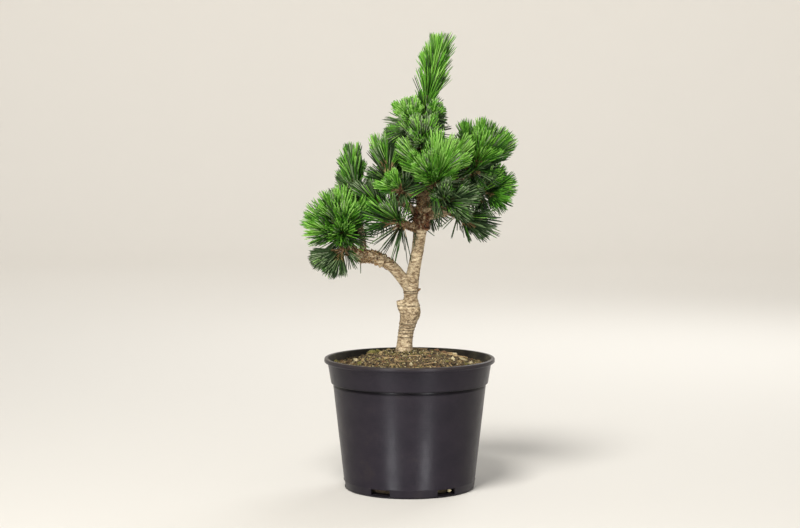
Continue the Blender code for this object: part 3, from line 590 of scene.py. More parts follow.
# Studio
FLOOR_COLOUR = (0.8, 0.775, 0.73)
FLOOR_ROUGHNESS = 0.9
SKY_COLOUR = (1.0, 0.98, 0.95)
SKY_STRENGTH = 0.24
LAMP_AIM = Vector((0.0, 0.0, 0.22))
LOW_LAMP_Z = 0.5
BOWL_RADIUS = 4.6
BOWL_BEND = 1.2
BOWL_HEIGHT = 2.8
BOWL_STEPS = 72
BOWL_LAMP_RADIUS = 1.6
BOWL_LAMP_HEIGHT = 3.2
BOWL_AIM_HEIGHT = 1.6
BOWL_WATTS = {"back": 80.0, "right": 18.0, "front": 14.0, "left": 18.0}
BOWL_BEND_STEPS = 13
BOWL_LAMP_SIZE = (2.2, 0.8)
BOWL_LAMP_COLOUR = (1.0, 0.98, 0.95)


class Lamp(NamedTuple):
    """A soft rectangular light that faces the plant."""

    place: tuple
    width: float
    height: float
    watts: float
    colour: tuple


LAMPS = {
    "overhead": Lamp((-0.35, -1.0, 1.8), 0.6, 0.6, 35.0, (1.0, 0.98, 0.94)),
    "strip_left": Lamp((-0.8, -1.45, 0.2), 0.17, 0.36, 13.0, (0.95, 0.96, 1.0)),
    "strip_right": Lamp((0.7, -1.5, 0.2), 0.14, 0.36, 12.0, (0.95, 0.96, 1.0)),
    "rim": Lamp((0.7, 1.3, 1.3), 0.9, 0.9, 10.0, (0.96, 0.98, 1.0)),
}


def unit(vector):
    """A vector's direction."""
    vector = np.array(vector, float)
    return vector / np.linalg.norm(vector)


def units(vectors):
    """The directions of many vectors."""
    return vectors / np.linalg.norm(vectors, axis=-1, keepdims=True)


def across(axis):
    """Two unit vectors square to an axis and to each other, as the source's rule sets them."""
    axis = unit(axis)
    helper = (0.0, 1.0, 0.0) if abs(axis[1]) < NEARLY_ALONG_Y else (1.0, 0.0, 0.0)
    side = unit(np.cross(axis, helper))
    return side, np.cross(axis, side)


def across_each(axes):
    """The same for many axes at once."""
    helper = np.where(np.abs(axes[:, 1:2]) < NEARLY_ALONG_Y, (0.0, 1.0, 0.0), (1.0, 0.0, 0.0))
    side = units(np.cross(axes, helper))
    return side, np.cross(axes, side)


def swing(first, second, angles):
    """Unit vectors turned from the first direction towards the second, one for each angle."""
    return np.cos(angles)[:, None] * first + np.sin(angles)[:, None] * second


def tilted(axis, angle, turn):
    """A unit vector at that angle from the axis, turned about it. Both are in radians."""
    side, other = across(axis)
    return unit(axis) * math.cos(angle) + (side * math.cos(turn) + other * math.sin(turn)) * math.sin(angle)


def along_path(stations, steps):
    """Stations (x, y, z, ...) joined by a Catmull-Rom curve, with that many steps to a span."""
    nodes = np.array(stations, float)
    nodes = np.vstack([2 * nodes[0] - nodes[1], nodes, 2 * nodes[-1] - nodes[-2]])
    path = []
    for a, b, c, d in zip(nodes, nodes[1:], nodes[2:], nodes[3:]):
        for t in np.arange(steps) / steps:
            path.append(0.5 * (2 * b + (c - a) * t + (2 * a - 5 * b + 4 * c - d) * t**2
                               + (3 * b - 3 * c + d - a) * t**3))
    path.append(nodes[-2])
    return np.array(path)


def lengths_along(path):
    """How far along a path each of its points lies."""
    spans = np.linalg.norm(np.diff(path[:, :3], axis=0), axis=1)
    return np.concatenate([[0], np.cumsum(spans)])


def at_places(path, lengths, places, columns=4):
    """A path's points, with their radii where four columns are asked for, at places along it."""
    return np.stack([np.interp(places, lengths, path[:, column]) for column in range(columns)], axis=1)


def limb_paths(steps):
    """Every limb's smooth path by name. A bough's radius falls evenly from root to tip."""
    paths = {"trunk": along_path(TRUNK, steps)}
    for name, (root_radius, tip_radius, route) in BOUGHS.items():
        radii = np.linspace(root_radius, tip_radius, len(route))
        stations = [(*point, radius) for point, radius in zip(route, radii)]
        paths[name] = along_path(stations, steps)
    return paths


def mass_skeleton(mass, path, dice):
    """The stem from the limb's tip, and the shoots that open from its end, as in the source."""
    tip, heading = path[-1][:3], unit(path[-1][:3] - path[-2][:3])
    root = tip + heading * CLEARANCE
    knuckle = root + heading * STEM_LENGTH
    stem = Rod(root, knuckle, path[-1][3], path[-1][3])
    shoots = []
    for index in range(mass.shoots):
        spread = math.sqrt(index / max(mass.shoots - 1, 1))
        opening = spread * math.radians(mass.opening_deg + dice.uniform(-1, 1) * SHOOT_JITTER_DEG)
        aim = tilted(mass.aim, opening, math.radians(mass.turn_deg) + index * GOLDEN_ANGLE)
        length = mass.shoot_length * dice.uniform(SHOOT_SHORTEST, SHOOT_LONGEST) + KNUCKLE_RADIUS
        shoots.append(Rod(knuckle, knuckle + aim * length, TWIG_ROOT_RADIUS, TWIG_TIP_RADIUS))
    return stem, shoots


class Bars:
    """Rods as arrays, with the numbers of the masses that own them, to measure distances from."""

    def __init__(self, rods, owners=()):
        self.foot = np.array([rod.root for rod in rods])
        self.span = np.array([rod.tip - rod.root for rod in rods])
        self.radius = np.array([max(rod.root_radius, rod.tip_radius) for rod in rods])
        self.owners = np.array(owners)

    def gaps(self, points):
        """How far each point is from each bar's axis."""
        offset = points[:, None, :] - self.foot[None, :, :]
        share = (offset * self.span).sum(2) / (self.span**2).sum(1)
        nearest = np.clip(share, 0, 1)[:, :, None] * self.span
        return np.linalg.norm(offset - nearest, axis=2)


def clear_of_limbs(roots, tips, limbs):
    """Which needles keep off every limb, beyond their own feet."""
    clear = np.ones(len(roots), bool)
    for share in np.linspace(NEEDLE_FREE_FROM, 1.0, PROBES):
        gaps = limbs.gaps(roots + (tips - roots) * share)
        clear &= (gaps > limbs.radius + NEEDLE_GAP).all(1)
    return clear


def in_own_space(points, mass_number, bones):
    """Which points keep to their own mass's side of the space between it and its rivals."""
    gaps = bones.gaps(points)
    own = bones.owners == mass_number
    return gaps[:, own].min(1) * RIVAL_SHARE < gaps[:, ~own].min(1)


def clear_of_bare_front(needles):
    """Which needles do not pass in front of the bare stretch of trunk."""
    low, high = (np.array(corner) for corner in BARE_FRONT)
    clear = np.ones(len(needles.root), bool)
    for share in np.linspace(FRONT_FREE_FROM, 1.0, PROBES):
        reach = (needles.length * share)[:, None]
        points = needles.root + (needles.heading + needles.bend * share) * reach
        clear &= ~((points > low) & (points < high)).all(1)
    return clear


class Needles(NamedTuple):
    """Many needles as arrays: the level is the place of their shade between dark and pale."""

    root: np.ndarray
    heading: np.ndarray
    length: np.ndarray
    bend: np.ndarray
    level: np.ndarray
    dull: np.ndarray

    def tips(self):
        """Where each needle ends."""
        return self.root + (self.heading + self.bend) * self.length[:, None]

    def only(self, which):
        """The needles that a mask picks."""
        return Needles(*(column[which] for column in self))


def gathered(groups):
    """Several groups of needles as one."""
    return Needles(*(np.concatenate(columns) for columns in zip(*groups)))


def side_twigs(shoot, rng):
    """Short twigs that branch from a shoot, turned round it by the golden angle."""
    axis = shoot.tip - shoot.root
    length = np.linalg.norm(axis)
    start = rng.random() * 2 * math.pi
    twigs = []
    for index in range(SIDE_TWIGS):
        share = SIDE_TWIG_FROM + SIDE_TWIG_STRETCH * index / SIDE_TWIGS
        aim = tilted(axis, math.radians(SIDE_TWIG_OPENING_DEG), start + index * GOLDEN_ANGLE)
        reach = min(SIDE_TWIG_LENGTH, SIDE_TWIG_MOST * length)
        reach *= rng.uniform(SIDE_TWIG_SHORTEST, SIDE_TWIG_LONGEST)
        root = shoot.root + axis * share
        twigs.append(Rod(root, root + aim * reach, TWIG_TIP_RADIUS, TWIG_TIP_RADIUS * SIDE_TWIG_TAPER))
    return twigs


def sprays_on_twig(twig, bare, needle_length, leans, tip_sprays, level, dull_share, look, rng):
    """Sprays set round a twig: laid back at its root and nearly straight ahead at its tip."""
    axis = unit(twig.tip - twig.root)
    free = np.linalg.norm(twig.tip - twig.root) - bare
    count = max(FEWEST_SPRAYS, round(free * SPRAYS_PER_METRE * look.thickness))
    at_tip = round(tip_sprays * look.thickness)
    share = np.concatenate([(np.arange(count) + rng.random(count)) / count, np.ones(at_tip)])
    turn = np.arange(len(share)) * GOLDEN_ANGLE + rng.normal(0, TURN_JITTER, len(share))
    lean = leans[0] + (leans[1] - leans[0]) * share
    lean *= look.least_share + (1 - look.least_share) * rng.random(len(share))
    lean = np.radians(lean + rng.normal(0, LEAN_JITTER_DEG, len(share)))
    side, other = across(axis)
    outward = swing(side, other, turn)
    heading = swing(axis, outward, lean)
    root = twig.root + np.outer(bare + free * share, axis) + outward * TWIG_TIP_RADIUS * ROOT_SINK
    length = needle_length * (1 - rng.random(len(share)) * NEEDLE_SHORTER_BY)
    # Painted light: upright needles are paler and drooping ones darker, as if lit from above
    # Paler towards the tip for new growth, darker towards the root as painted shade
    level = level + TIP_GROWTH_AND_SHADE_GAIN * (share - 0.5) + UPRIGHT_PAINTED_LIGHT_GAIN * (heading[:, 2] - 0.5)
    level += rng.normal(0, LEVEL_SPREAD, len(share))
    dull = rng.random(len(share)) < dull_share
    return Needles(root, heading, length, -outward * INWARD_BEND, level, dull)


def sprays_of_skirt(mass, stem, look, rng):
    """Sprays of older needles that stand out of the knuckle and the stem, below the shoots."""
    low, high = math.cos(math.radians(mass.skirt_to_deg)), math.cos(math.radians(mass.skirt_from_deg))
    count = max(FEWEST_SKIRT_SPRAYS, round(SKIRT_SPRAYS * (high - low) * look.thickness * look.skirt))
    upright = low + (high - low) * (np.arange(count) + 0.5) / count
    turn = np.arange(count) * GOLDEN_ANGLE + rng.normal(0, SKIRT_TURN_JITTER, count)
    side, other = across(mass.aim)
    flat = swing(side, other, turn)
    heading = upright[:, None] * unit(mass.aim) + np.sqrt(1 - upright**2)[:, None] * flat
    back = unit(stem.root - stem.tip)
    depth = np.outer(rng.random(count) * SKIRT_DEPTH, back)
    root = stem.tip + heading * KNUCKLE_RADIUS * SKIRT_ROOT_SINK + depth
    length = mass.skirt_length * (1 - rng.random(count) * NEEDLE_SHORTER_BY)
    # Painted light: upright skirt needles are paler and drooping ones darker, as if lit from above
    level = TONE_LEVELS[mass.tone] + look.level - SKIRT_LEVEL_DROP + UPRIGHT_PAINTED_LIGHT_GAIN * heading[:, 2]
    level += rng.normal(0, LEVEL_SPREAD, count)
    bend = np.tile((0.0, 0.0, -DROOP_BEND), (count, 1))
    return Needles(root, heading, length, bend, level, rng.random(count) < SKIRT_DULL_SHARE)


def parted(sprays, rng):
    """Each spray's needles, which open a little from one another."""
    side, other = across_each(sprays.heading)
    start = rng.random(len(sprays.root)) * 2 * math.pi
    groups = []
    for index in range(NEEDLES_PER_SPRAY):
        turn = start + index * 2 * math.pi / NEEDLES_PER_SPRAY
        apart = swing(side, other, turn)
        heading = units(sprays.heading + apart * math.tan(math.radians(SPRAY_OPENING_DEG)))
        length = sprays.length * (1 - rng.random(len(turn)) * NEEDLE_UNEVEN_BY)
        root = sprays.root + apart * NEEDLE_RADIUS * NEEDLES_APART
        groups.append(sprays._replace(root=root, heading=heading, length=length))
    return gathered(groups)


def within_reach(needles, centre, reach):
    """The same needles, shortened where they would pass the mass's reach or the crown's top."""
    over = np.linalg.norm(needles.tips() - centre, axis=1) - reach
    length = needles.length - np.clip(over, 0, None)
    rise = needles.heading[:, 2] + needles.bend[:, 2]
    room = (CROWN_TOP_Z - needles.root[:, 2]) / np.where(rise > 0, rise, 1)
    length = np.where(rise > 0, np.minimum(length, room), length)
    return needles._replace(length=length)


class Heap:
    """Points, triangles and shade numbers that are gathered and joined into one mesh."""

    def __init__(self):
        self.points, self.faces, self.shades, self.count = [], [], [], 0

    def add(self, points, faces, shades):
        """Points of like things (n, k, 3), one thing's faces (f, 3) and each face's shade (n, f)."""
        points = np.asarray(points, float)
        number, size = points.shape[:2]
        starts = self.count + np.arange(number)[:, None, None] * size
        self.points.append(points.reshape(-1, 3))
        self.faces.append((np.asarray(faces)[None] + starts).reshape(-1, 3))
        self.shades.append(np.broadcast_to(shades, (number, len(faces))).reshape(-1))
        self.count += number * size

    def piece(self, name, materials, slot, smooth=True, sharp_from_deg=None):
        """Joins the heap into a piece of that name."""
        points, faces = np.vstack(self.points), np.vstack(self.faces)
        mesh = bpy.data.meshes.new(name)
        mesh.vertices.add(len(points))
        mesh.vertices.foreach_set("co", points.astype(np.float32).ravel())
        mesh.loops.add(faces.size)
        mesh.loops.foreach_set("vertex_index", faces.astype(np.int32).ravel())
        mesh.polygons.add(len(faces))
        mesh.polygons.foreach_set("loop_start", np.arange(0, faces.size, 3, dtype=np.int32))
        mesh.polygons.foreach_set("material_index", np.concatenate(self.shades).astype(np.int32))
        mesh.update(calc_edges=True)
        mesh.validate()
        return piece(name, mesh, materials, smooth, sharp_from_deg)


def in_scene(name, data):
    """A new object of that name, linked to the scene."""
    obj = bpy.data.objects.new(name, data)
    bpy.context.scene.collection.objects.link(obj)
    return obj


def piece(name, mesh, materials, smooth=True, sharp_from_deg=None):
    """Puts a mesh in the scene as a piece that rides on the plant's one body."""
    obj = in_scene(name, mesh)
    for material in materials:
        mesh.materials.append(material)
    if smooth:
        mesh.shade_smooth()
    if sharp_from_deg:
        mesh.set_sharp_from_angle(angle=math.radians(sharp_from_deg))
    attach(obj, BODY)
    return obj


def ring_faces(rings, sides, capped):
    """Triangles of a tube of rings of points, closed by one last point at its far end if capped."""
    faces = []
    for ring in range(rings - 1):
        for side in range(sides):
            a, b = ring * sides + side, ring * sides + (side + 1) % sides
            faces += [(a, b, b + sides), (a, b + sides, a + sides)]
    if capped:
        last = (rings - 1) * sides
        faces += [(last + side, last + (side + 1) % sides, rings * sides) for side in range(sides)]
    return np.array(faces)


def needle_points(needles, rings, sizes, radius, turn):
    """Rings of points along each needle's gentle curve, and its point."""
    side, other = across_each(needles.heading)
    columns = []
    for share, size in zip(rings, sizes):
        along = needles.heading * share + needles.bend * share**2
        centre = needles.root + along * needles.length[:, None]
        for corner in range(NEEDLE_SIDES):
            angle = turn + corner * 2 * math.pi / NEEDLE_SIDES
            spoke = swing(side, other, angle)
            columns.append(centre + spoke * radius * size)
    columns.append(needles.tips())
    return np.stack(columns, axis=1)


def add_needles(heap, needles, rng):
    """Adds needles in the spray's own shade to a heap, with a brown foot or one darkened as painted shade,
    and a paler side that is partly painted highlight.
    """
    count = len(needles.root)
    turn = rng.random(count) * 2 * math.pi
    points = needle_points(needles, NEEDLE_RINGS, NEEDLE_RING_SIZES, NEEDLE_RADIUS, turn)
    names = list(SHADES)
    first = np.where(needles.dull, names.index("dull_0"), names.index("fresh_0"))
    level = np.clip(np.rint(needles.level), 0, PALEST).astype(int)
    brown = rng.choice((names.index("foot_tan"), names.index("foot_brown")), count)
    # Painted shade: where the foot is not brown, it is set darker than the needle's body
    painted_shade_foot = first + np.maximum(level - FOOT_PAINTED_SHADE_DROP, 0)
    foot = np.where(rng.random(count) < BROWN_FOOT_SHARE, brown, painted_shade_foot)
    # The pale side and point: partly stomatal band, partly painted highlight
    body, pale = first + level, first + np.minimum(level + PALE_SIDE_AND_HIGHLIGHT_GAIN, PALEST)
    per_side = [body] * (2 * NEEDLE_SIDES - 2) + [pale, pale]
    point = [body] * (NEEDLE_SIDES - 1) + [pale]
    shades = np.stack([foot] * (2 * NEEDLE_SIDES) + per_side + point, axis=1)
    heap.add(points, ring_faces(len(NEEDLE_RINGS), NEEDLE_SIDES, True), shades)


def add_sheaths(heap, sprays, rng):
    """A short brown sheath round each spray's foot."""
    turn = rng.random(len(sprays.root)) * 2 * math.pi
    sheaths = sprays._replace(length=np.full(len(sprays.root), SHEATH_LENGTH))
    points = needle_points(sheaths, (0.0, SHEATH_SHOULDER), (1.0, 1.0), SHEATH_RADIUS, turn)
    shades = rng.choice(len(SHEATH_SHARES), len(sprays.root), p=SHEATH_SHARES)[:, None] + 1
    heap.add(points, ring_faces(2, NEEDLE_SIDES, True), shades)


def add_twig(heap, rod, shade):
    """A slim round twig with a blunt bud at its tip."""
    axis = rod.tip - rod.root
    side, other = across(axis)
    stations = (
        (0.0, rod.root_radius),
        (TWIG_MIDDLE, (rod.root_radius + rod.tip_radius) / 2),
        (TWIG_BUD, rod.tip_radius * TWIG_BUD_SIZE),
        (TWIG_BUD_END, rod.tip_radius * TWIG_BUD_END_SIZE),
    )
    points = []
    for share, radius in stations:
        for corner in range(TWIG_SIDES):
            angle = corner * 2 * math.pi / TWIG_SIDES
            spoke = side * math.cos(angle) + other * math.sin(angle)
            points.append(rod.root + axis * share + spoke * radius)
    points.append(rod.tip + unit(axis) * rod.tip_radius)
    heap.add(np.array([points]), ring_faces(len(stations), TWIG_SIDES, True), shade)


def add_scales(heap, roots, headings, lengths, widths, rng, weights):
    """Papery scales: each is a kite of two faces, folded along its middle."""
    side, other = across_each(headings)
    turn = rng.random(len(roots)) * 2 * math.pi
    flat = swing(side, other, turn)
    ridge = np.cross(headings, flat)
    middle = roots + headings * lengths[:, None] * SCALE_FOLD_AT - ridge * widths[:, None] * SCALE_FOLD_DEPTH
    points = np.stack([roots, middle + flat * widths[:, None] / 2, middle - flat * widths[:, None] / 2,
                       roots + headings * lengths[:, None]], axis=1)
    shades = rng.choice(len(weights), len(roots), p=weights)[:, None]
    heap.add(points, np.array([(0, 1, 3), (0, 3, 2)]), shades)


def scales_round_knuckle(heap, stem, rng):
    """Old bud scales all over a knuckle and its stem."""
    count = KNUCKLE_SCALES
    upright = 1 - 2 * (np.arange(count) + 0.5) / count
    turn = np.arange(count) * GOLDEN_ANGLE
    ahead = unit(stem.tip - stem.root)
    side, other = across(ahead)
    flat = swing(side, other, turn)
    outward = upright[:, None] * ahead + np.sqrt(1 - upright**2)[:, None] * flat
    roots = stem.tip + outward * KNUCKLE_RADIUS * KNUCKLE_SCALE_SINK
    stray = rng.normal(0, KNUCKLE_SCALE_JITTER, (count, 3))
    headings = units(outward + KNUCKLE_SCALE_LEAN * ahead + stray)
    lengths = rng.uniform(*KNUCKLE_SCALE_LENGTHS, count)
    widths = rng.uniform(*KNUCKLE_SCALE_WIDTHS, count)
    add_scales(heap, roots, headings, lengths, widths, rng, KNUCKLE_SCALE_SHARES)


def scales_on_limb(heap, path, rng, start, end, per_metre, lift_deg, weights, size):
    """Scales on a limb's skin between two shares of its length, all laid towards its tip."""
    lengths = lengths_along(path)
    count = round(lengths[-1] * (end - start) * per_metre)
    place = lengths[-1] * (start + (end - start) * rng.random(count))
    centre = at_places(path, lengths, place)
    ahead = at_places(path, lengths, place + AXIS_STRIDE, 3)
    behind = at_places(path, lengths, place - AXIS_STRIDE, 3)
    axis = units(ahead - behind)
    side, other = across_each(axis)
    turn = rng.random(count) * 2 * math.pi
    outward = swing(side, other, turn)
    roots = centre[:, :3] + outward * centre[:, 3:4] * LIMB_SCALE_SINK
    lift = np.radians(lift_deg + rng.normal(0, LIMB_SCALE_JITTER_DEG, count))
    headings = units(swing(axis, outward, lift))
    long = rng.uniform(*LIMB_SCALE_LENGTHS, count) * size
    wide = rng.uniform(*LIMB_SCALE_WIDTHS, count) * size
    add_scales(heap, roots, headings, long, wide, rng, weights)


def scaled(point, scale, shift=0):
    """A point in a noise's own units, from its scale across the limbs and its scale upwards."""
    x, y, z = point
    return Vector((x * scale[0] + shift, y * scale[0], z * scale[1]))


def bark_relief(point, radius):
    """How far the bark stands proud of the limb's mean radius there."""
    z = point[2]
    grain = noise.noise(scaled(point, GRAIN_SCALE))
    flecks = noise.noise(scaled(point, FLECK_SCALE, FLECK_SHIFT))
    lumps = noise.noise(scaled(point, LUMP_SCALE))
    plates = noise.voronoi(scaled(point, CRACK_SCALE))[0]
    crack = min(plates[1] - plates[0], CRACK_WIDTH) / CRACK_WIDTH - CRACK_MEAN
    relief = GRAIN_RELIEF * grain + FLECK_RELIEF * flecks + LUMP_RELIEF * lumps + CRACK_RELIEF * crack
    relief *= min(radius / FULL_RELIEF_RADIUS, 1.0)
    if radius <= WRINKLED_RADIUS:
        return relief
    levels = (z - ring - WRINKLE_WANDER * lumps for ring in WRINKLES_Z)
    wrinkles = sum(math.exp(-((level / WRINKLE_WIDTH) ** 2)) for level in levels)
    relief += WRINKLE_HEIGHT * min(wrinkles, 1.0)
    if BULGE_Z[0] < z < BULGE_Z[1]:
        fade = math.sin(math.pi * (z - BULGE_Z[0]) / (BULGE_Z[1] - BULGE_Z[0]))
        pits = noise.noise(scaled(point, BULGE_PIT_SCALE))
        relief -= BULGE_PIT * fade * max(pits - BULGE_PIT_FROM, 0.0) * BULGE_PIT_GAIN
    return relief


def skin(path, sides, flared):
    """A limb's skin: rings of points with the bark's relief, and a slightly hollow cut at its tip."""
    lengths = lengths_along(path)
    places = np.linspace(0, lengths[-1], round(lengths[-1] / BARK_STEP))
    rings = at_places(path, lengths, places)
    axes = units(np.gradient(rings[:, :3], axis=0))
    spoke = across(axes[0])[0]
    points = []
    for (x, y, z, radius), axis, place in zip(rings, axes, places):
        spoke = unit(spoke - axis * (spoke @ axis))
        other = np.cross(axis, spoke)
        swollen = radius
        if flared:
            swollen *= 1 + FLARE * max(0.0, 1 - place / FLARE_LENGTH) ** 2
        for side in range(sides):
            angle = side * 2 * math.pi / sides
            outward = spoke * math.cos(angle) + other * math.sin(angle)
            point = np.array((x, y, z)) + outward * swollen
            points.append(point + outward * bark_relief(point, radius))
    count = len(rings)
    points.append(rings[-1, :3] - axes[-1] * CUT_HOLLOW)
    faces = ring_faces(count, sides, True)
    shades = np.zeros(len(faces), int)
    shades[-sides:] = 1
    return np.array(points), faces, shades


def build_bark(paths, materials):
    """The trunk's bark, and the bark of all boughs. Each limb's skin is open at its hidden root."""
    for title, names, sides, sharp_from_deg in (
        ("bark_trunk", ["trunk"], TRUNK_SIDES, None),
        ("bark_boughs", list(BOUGHS), LIMB_SIDES, BOUGH_SHARP_FROM_DEG),
    ):
        heap = Heap()
        for name in names:
            points, faces, shades = skin(paths[name], sides, name in BOUGHS)
            heap.add(points[None], faces, shades)
        obj = heap.piece(title, materials, "bark", sharp_from_deg=sharp_from_deg)
        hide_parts(*names)


def arc(centre_radius, centre_z, size, start_deg, end_deg):
    """Points of a rounded edge in the profile's plane."""
    turns = np.radians(np.linspace(start_deg, end_deg, ARC_STEPS))
    return [(centre_radius + size * math.cos(turn), centre_z + size * math.sin(turn)) for turn in turns]


def pot_profile():
    """The pot's section from the axis on its inside, over the lip and down to the axis below."""
    lip_foot_z = POT_HEIGHT - POT_LIP_DEPTH
    lip_middle = POT_LIP_RADIUS - POT_LIP_ROUND
    collar_inner = POT_COLLAR_TOP_RADIUS - POT_WALL
    taper = (POT_BODY_TOP_RADIUS - POT_BASE_RADIUS) / POT_COLLAR_FOOT_Z
    band_radius = POT_BASE_RADIUS + taper * POT_FOOT_BAND_Z
    inner = [
        (0.0, POT_FLOOR),
        (POT_BASE_RADIUS - POT_WALL, POT_FLOOR),
        (POT_BODY_TOP_RADIUS - POT_WALL, POT_LEDGE_Z),
        (POT_COLLAR_FOOT_RADIUS - POT_WALL, POT_LEDGE_Z + POT_WALL),
        (collar_inner, lip_foot_z),
        *arc(collar_inner + 2 * POT_LIP_ROUND, POT_HEIGHT - POT_LIP_ROUND, POT_LIP_ROUND, 180, 90),
    ]
    outer = [
        *arc(lip_middle, POT_HEIGHT - POT_LIP_ROUND, POT_LIP_ROUND, 90, 0),
        *arc(lip_middle, lip_foot_z + POT_LIP_ROUND, POT_LIP_ROUND, 0, -90),
        (POT_COLLAR_TOP_RADIUS + POT_LIP_FLARE, lip_foot_z),
        (POT_COLLAR_TOP_RADIUS, lip_foot_z - POT_LIP_ROUND),
        *arc(POT_COLLAR_FOOT_RADIUS - POT_COLLAR_STEP, POT_COLLAR_FOOT_Z + POT_COLLAR_STEP,
             POT_COLLAR_STEP, 0, -90),
        (POT_BODY_TOP_RADIUS - POT_GROOVE, POT_COLLAR_FOOT_Z),
        (POT_BODY_TOP_RADIUS - POT_GROOVE, POT_COLLAR_FOOT_Z - POT_GROOVE_HEIGHT),
        (POT_BODY_TOP_RADIUS, POT_COLLAR_FOOT_Z - 2 * POT_GROOVE_HEIGHT),
        (band_radius, POT_FOOT_BAND_Z),
        (band_radius + POT_FOOT_BAND_PROUD, POT_FOOT_BAND_Z - POT_FOOT_BAND_EDGE),
        *arc(POT_BASE_RADIUS - POT_FOOT_BEVEL, POT_FOOT_BEVEL, POT_FOOT_BEVEL, 0, -90),
        (0.0, 0.0),
    ]
    return inner + outer


def as_mesh(name, body):
    """A bmesh turned into a mesh of that name."""
    mesh = bpy.data.meshes.new(name)
    body.to_mesh(mesh)
    body.free()
    return mesh


def turned_mesh(name, profile, steps):
    """A closed solid of revolution about Z, from a profile that starts and ends on the axis."""
    body = bmesh.new()
    points = [body.verts.new((radius, 0.0, z)) for radius, z in profile]
    edges = [body.edges.new(pair) for pair in zip(points, points[1:])]
    bmesh.ops.spin(body, geom=points + edges, cent=(0, 0, 0), axis=(0, 0, 1), angle=2 * math.pi,
                   steps=steps, use_duplicate=False)
    bmesh.ops.remove_doubles(body, verts=body.verts, dist=MERGE_WITHIN)
    bmesh.ops.recalc_face_normals(body, faces=body.faces)
    return as_mesh(name, body)


def slot_cutters():
    """One mesh with a box for each slot."""
    body = bmesh.new()
    middle = POT_BASE_RADIUS - POT_WALL + SLOT_REACH / 4
    for index in range(SLOT_COUNT):
        turn = math.radians(-90 + SLOT_TURN_DEG + (index + 0.5) * 360 / SLOT_COUNT)
        made = bmesh.ops.create_cube(body, size=1.0)["verts"]
        bmesh.ops.scale(body, vec=(SLOT_REACH, SLOT_WIDTH, SLOT_TOP_Z - SLOT_FOOT_Z), verts=made)
        bmesh.ops.translate(body, vec=(middle, 0, (SLOT_TOP_Z + SLOT_FOOT_Z) / 2), verts=made)
        turned = [(math.cos(turn), -math.sin(turn), 0), (math.sin(turn), math.cos(turn), 0), (0, 0, 1)]
        for vert in made:
            vert.co = Vector([Vector(row).dot(vert.co) for row in turned])
    return as_mesh("slot_cutters", body)


def cut_by(mesh, cutter_mesh):
    """A mesh with a cutter's volume taken away."""
    obj, cutter = in_scene("uncut", mesh), in_scene("cutter", cutter_mesh)
    modifier = obj.modifiers.new("Slots", "BOOLEAN")
    modifier.operation = "DIFFERENCE"
    modifier.solver = "EXACT"
    modifier.object = cutter
    bpy.context.view_layer.update()
    cut = bpy.data.meshes.new_from_object(obj.evaluated_get(bpy.context.evaluated_depsgraph_get()))
    for each in (obj, cutter):
        bpy.data.objects.remove(each)
    return cut


def build_pot(outside, inside):
    """The pot's shell, with a dustier finish on the wall that faces the soil."""
    mesh = cut_by(turned_mesh("pot_shell", pot_profile(), POT_STEPS), slot_cutters())
    mesh.materials.clear()
    for face in mesh.polygons:
        x, y, z = face.center
        faces_in = face.normal.x * x + face.normal.y * y < POT_FACES_IN * math.hypot(x, y)
        face.material_index = int(faces_in and z > POT_LEDGE_Z)
    obj = piece("pot_shell", mesh, [outside, inside], sharp_from_deg=SHARP_FROM_DEG)
    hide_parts("pot")


def mound_height(radius):
    """The soil's mean height at a distance from the pot's middle."""
    edge = POT_COLLAR_FOOT_RADIUS - POT_WALL
    share = np.clip((np.asarray(radius) - SOIL_FLAT_RADIUS) / (edge - SOIL_FLAT_RADIUS), 0, 1)
    return SOIL_TOP_Z - (SOIL_TOP_Z - SOIL_EDGE_Z) * (1 - np.cos(np.pi * share)) / 2


def soil_lumps(x, y):
    """The soil's roughness at a point, in metres."""
    coarse = noise.noise(Vector((x * COARSE_LUMP_SCALE, y * COARSE_LUMP_SCALE, COARSE_LUMP_SEED)))
    fine = noise.noise(Vector((x * FINE_LUMP_SCALE, y * FINE_LUMP_SCALE, FINE_LUMP_SEED)))
    return SOIL_LUMP * (COARSE_LUMP_SHARE * coarse + FINE_LUMP_SHARE * fine)


def build_soil(material):
    """The soil's body: a lumpy mound, closed below in the pot."""
    edge = POT_COLLAR_FOOT_RADIUS - POT_WALL + SOIL_EDGE_OVERLAP
    radii = np.linspace(SOIL_MIDDLE_RADIUS, edge, SOIL_RINGS)
    rings = [(radius, mound_height(radius), True) for radius in radii] + [
        (POT_BODY_TOP_RADIUS - POT_WALL - CLEARANCE, POT_LEDGE_Z, False),
        (POT_BASE_RADIUS - POT_WALL, POT_FLOOR + SOIL_FOOT_HEIGHT, False),
        (POT_BASE_RADIUS - POT_WALL - SOIL_FOOT_SETBACK, POT_FLOOR + CLEARANCE, False),
    ]
    points = []
    for radius, z, lumpy in rings:
        for step in range(SOIL_STEPS):
            turn = step * 2 * math.pi / SOIL_STEPS
            x, y = radius * math.cos(turn), radius * math.sin(turn)
            points.append((x, y, z + soil_lumps(x, y) if lumpy else z))
    points.append((0.0, 0.0, POT_FLOOR + CLEARANCE))
    faces = ring_faces(len(rings), SOIL_STEPS, True)
    heap = Heap()
    heap.add(np.array([points]), faces[:, ::-1], 0)
    obj = heap.piece("soil_mound", [material], "soil")
    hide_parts("soil")


def icosahedron():
    """The twelve corners of an icosahedron of radius 1, and its faces."""
    body = bmesh.new()
    bmesh.ops.create_icosphere(body, subdivisions=1, radius=1.0)
    body.verts.index_update()
    points = np.array([vert.co[:] for vert in body.verts])
    faces = np.array([[vert.index for vert in face.verts] for face in body.faces])
    body.free()
    return points, faces


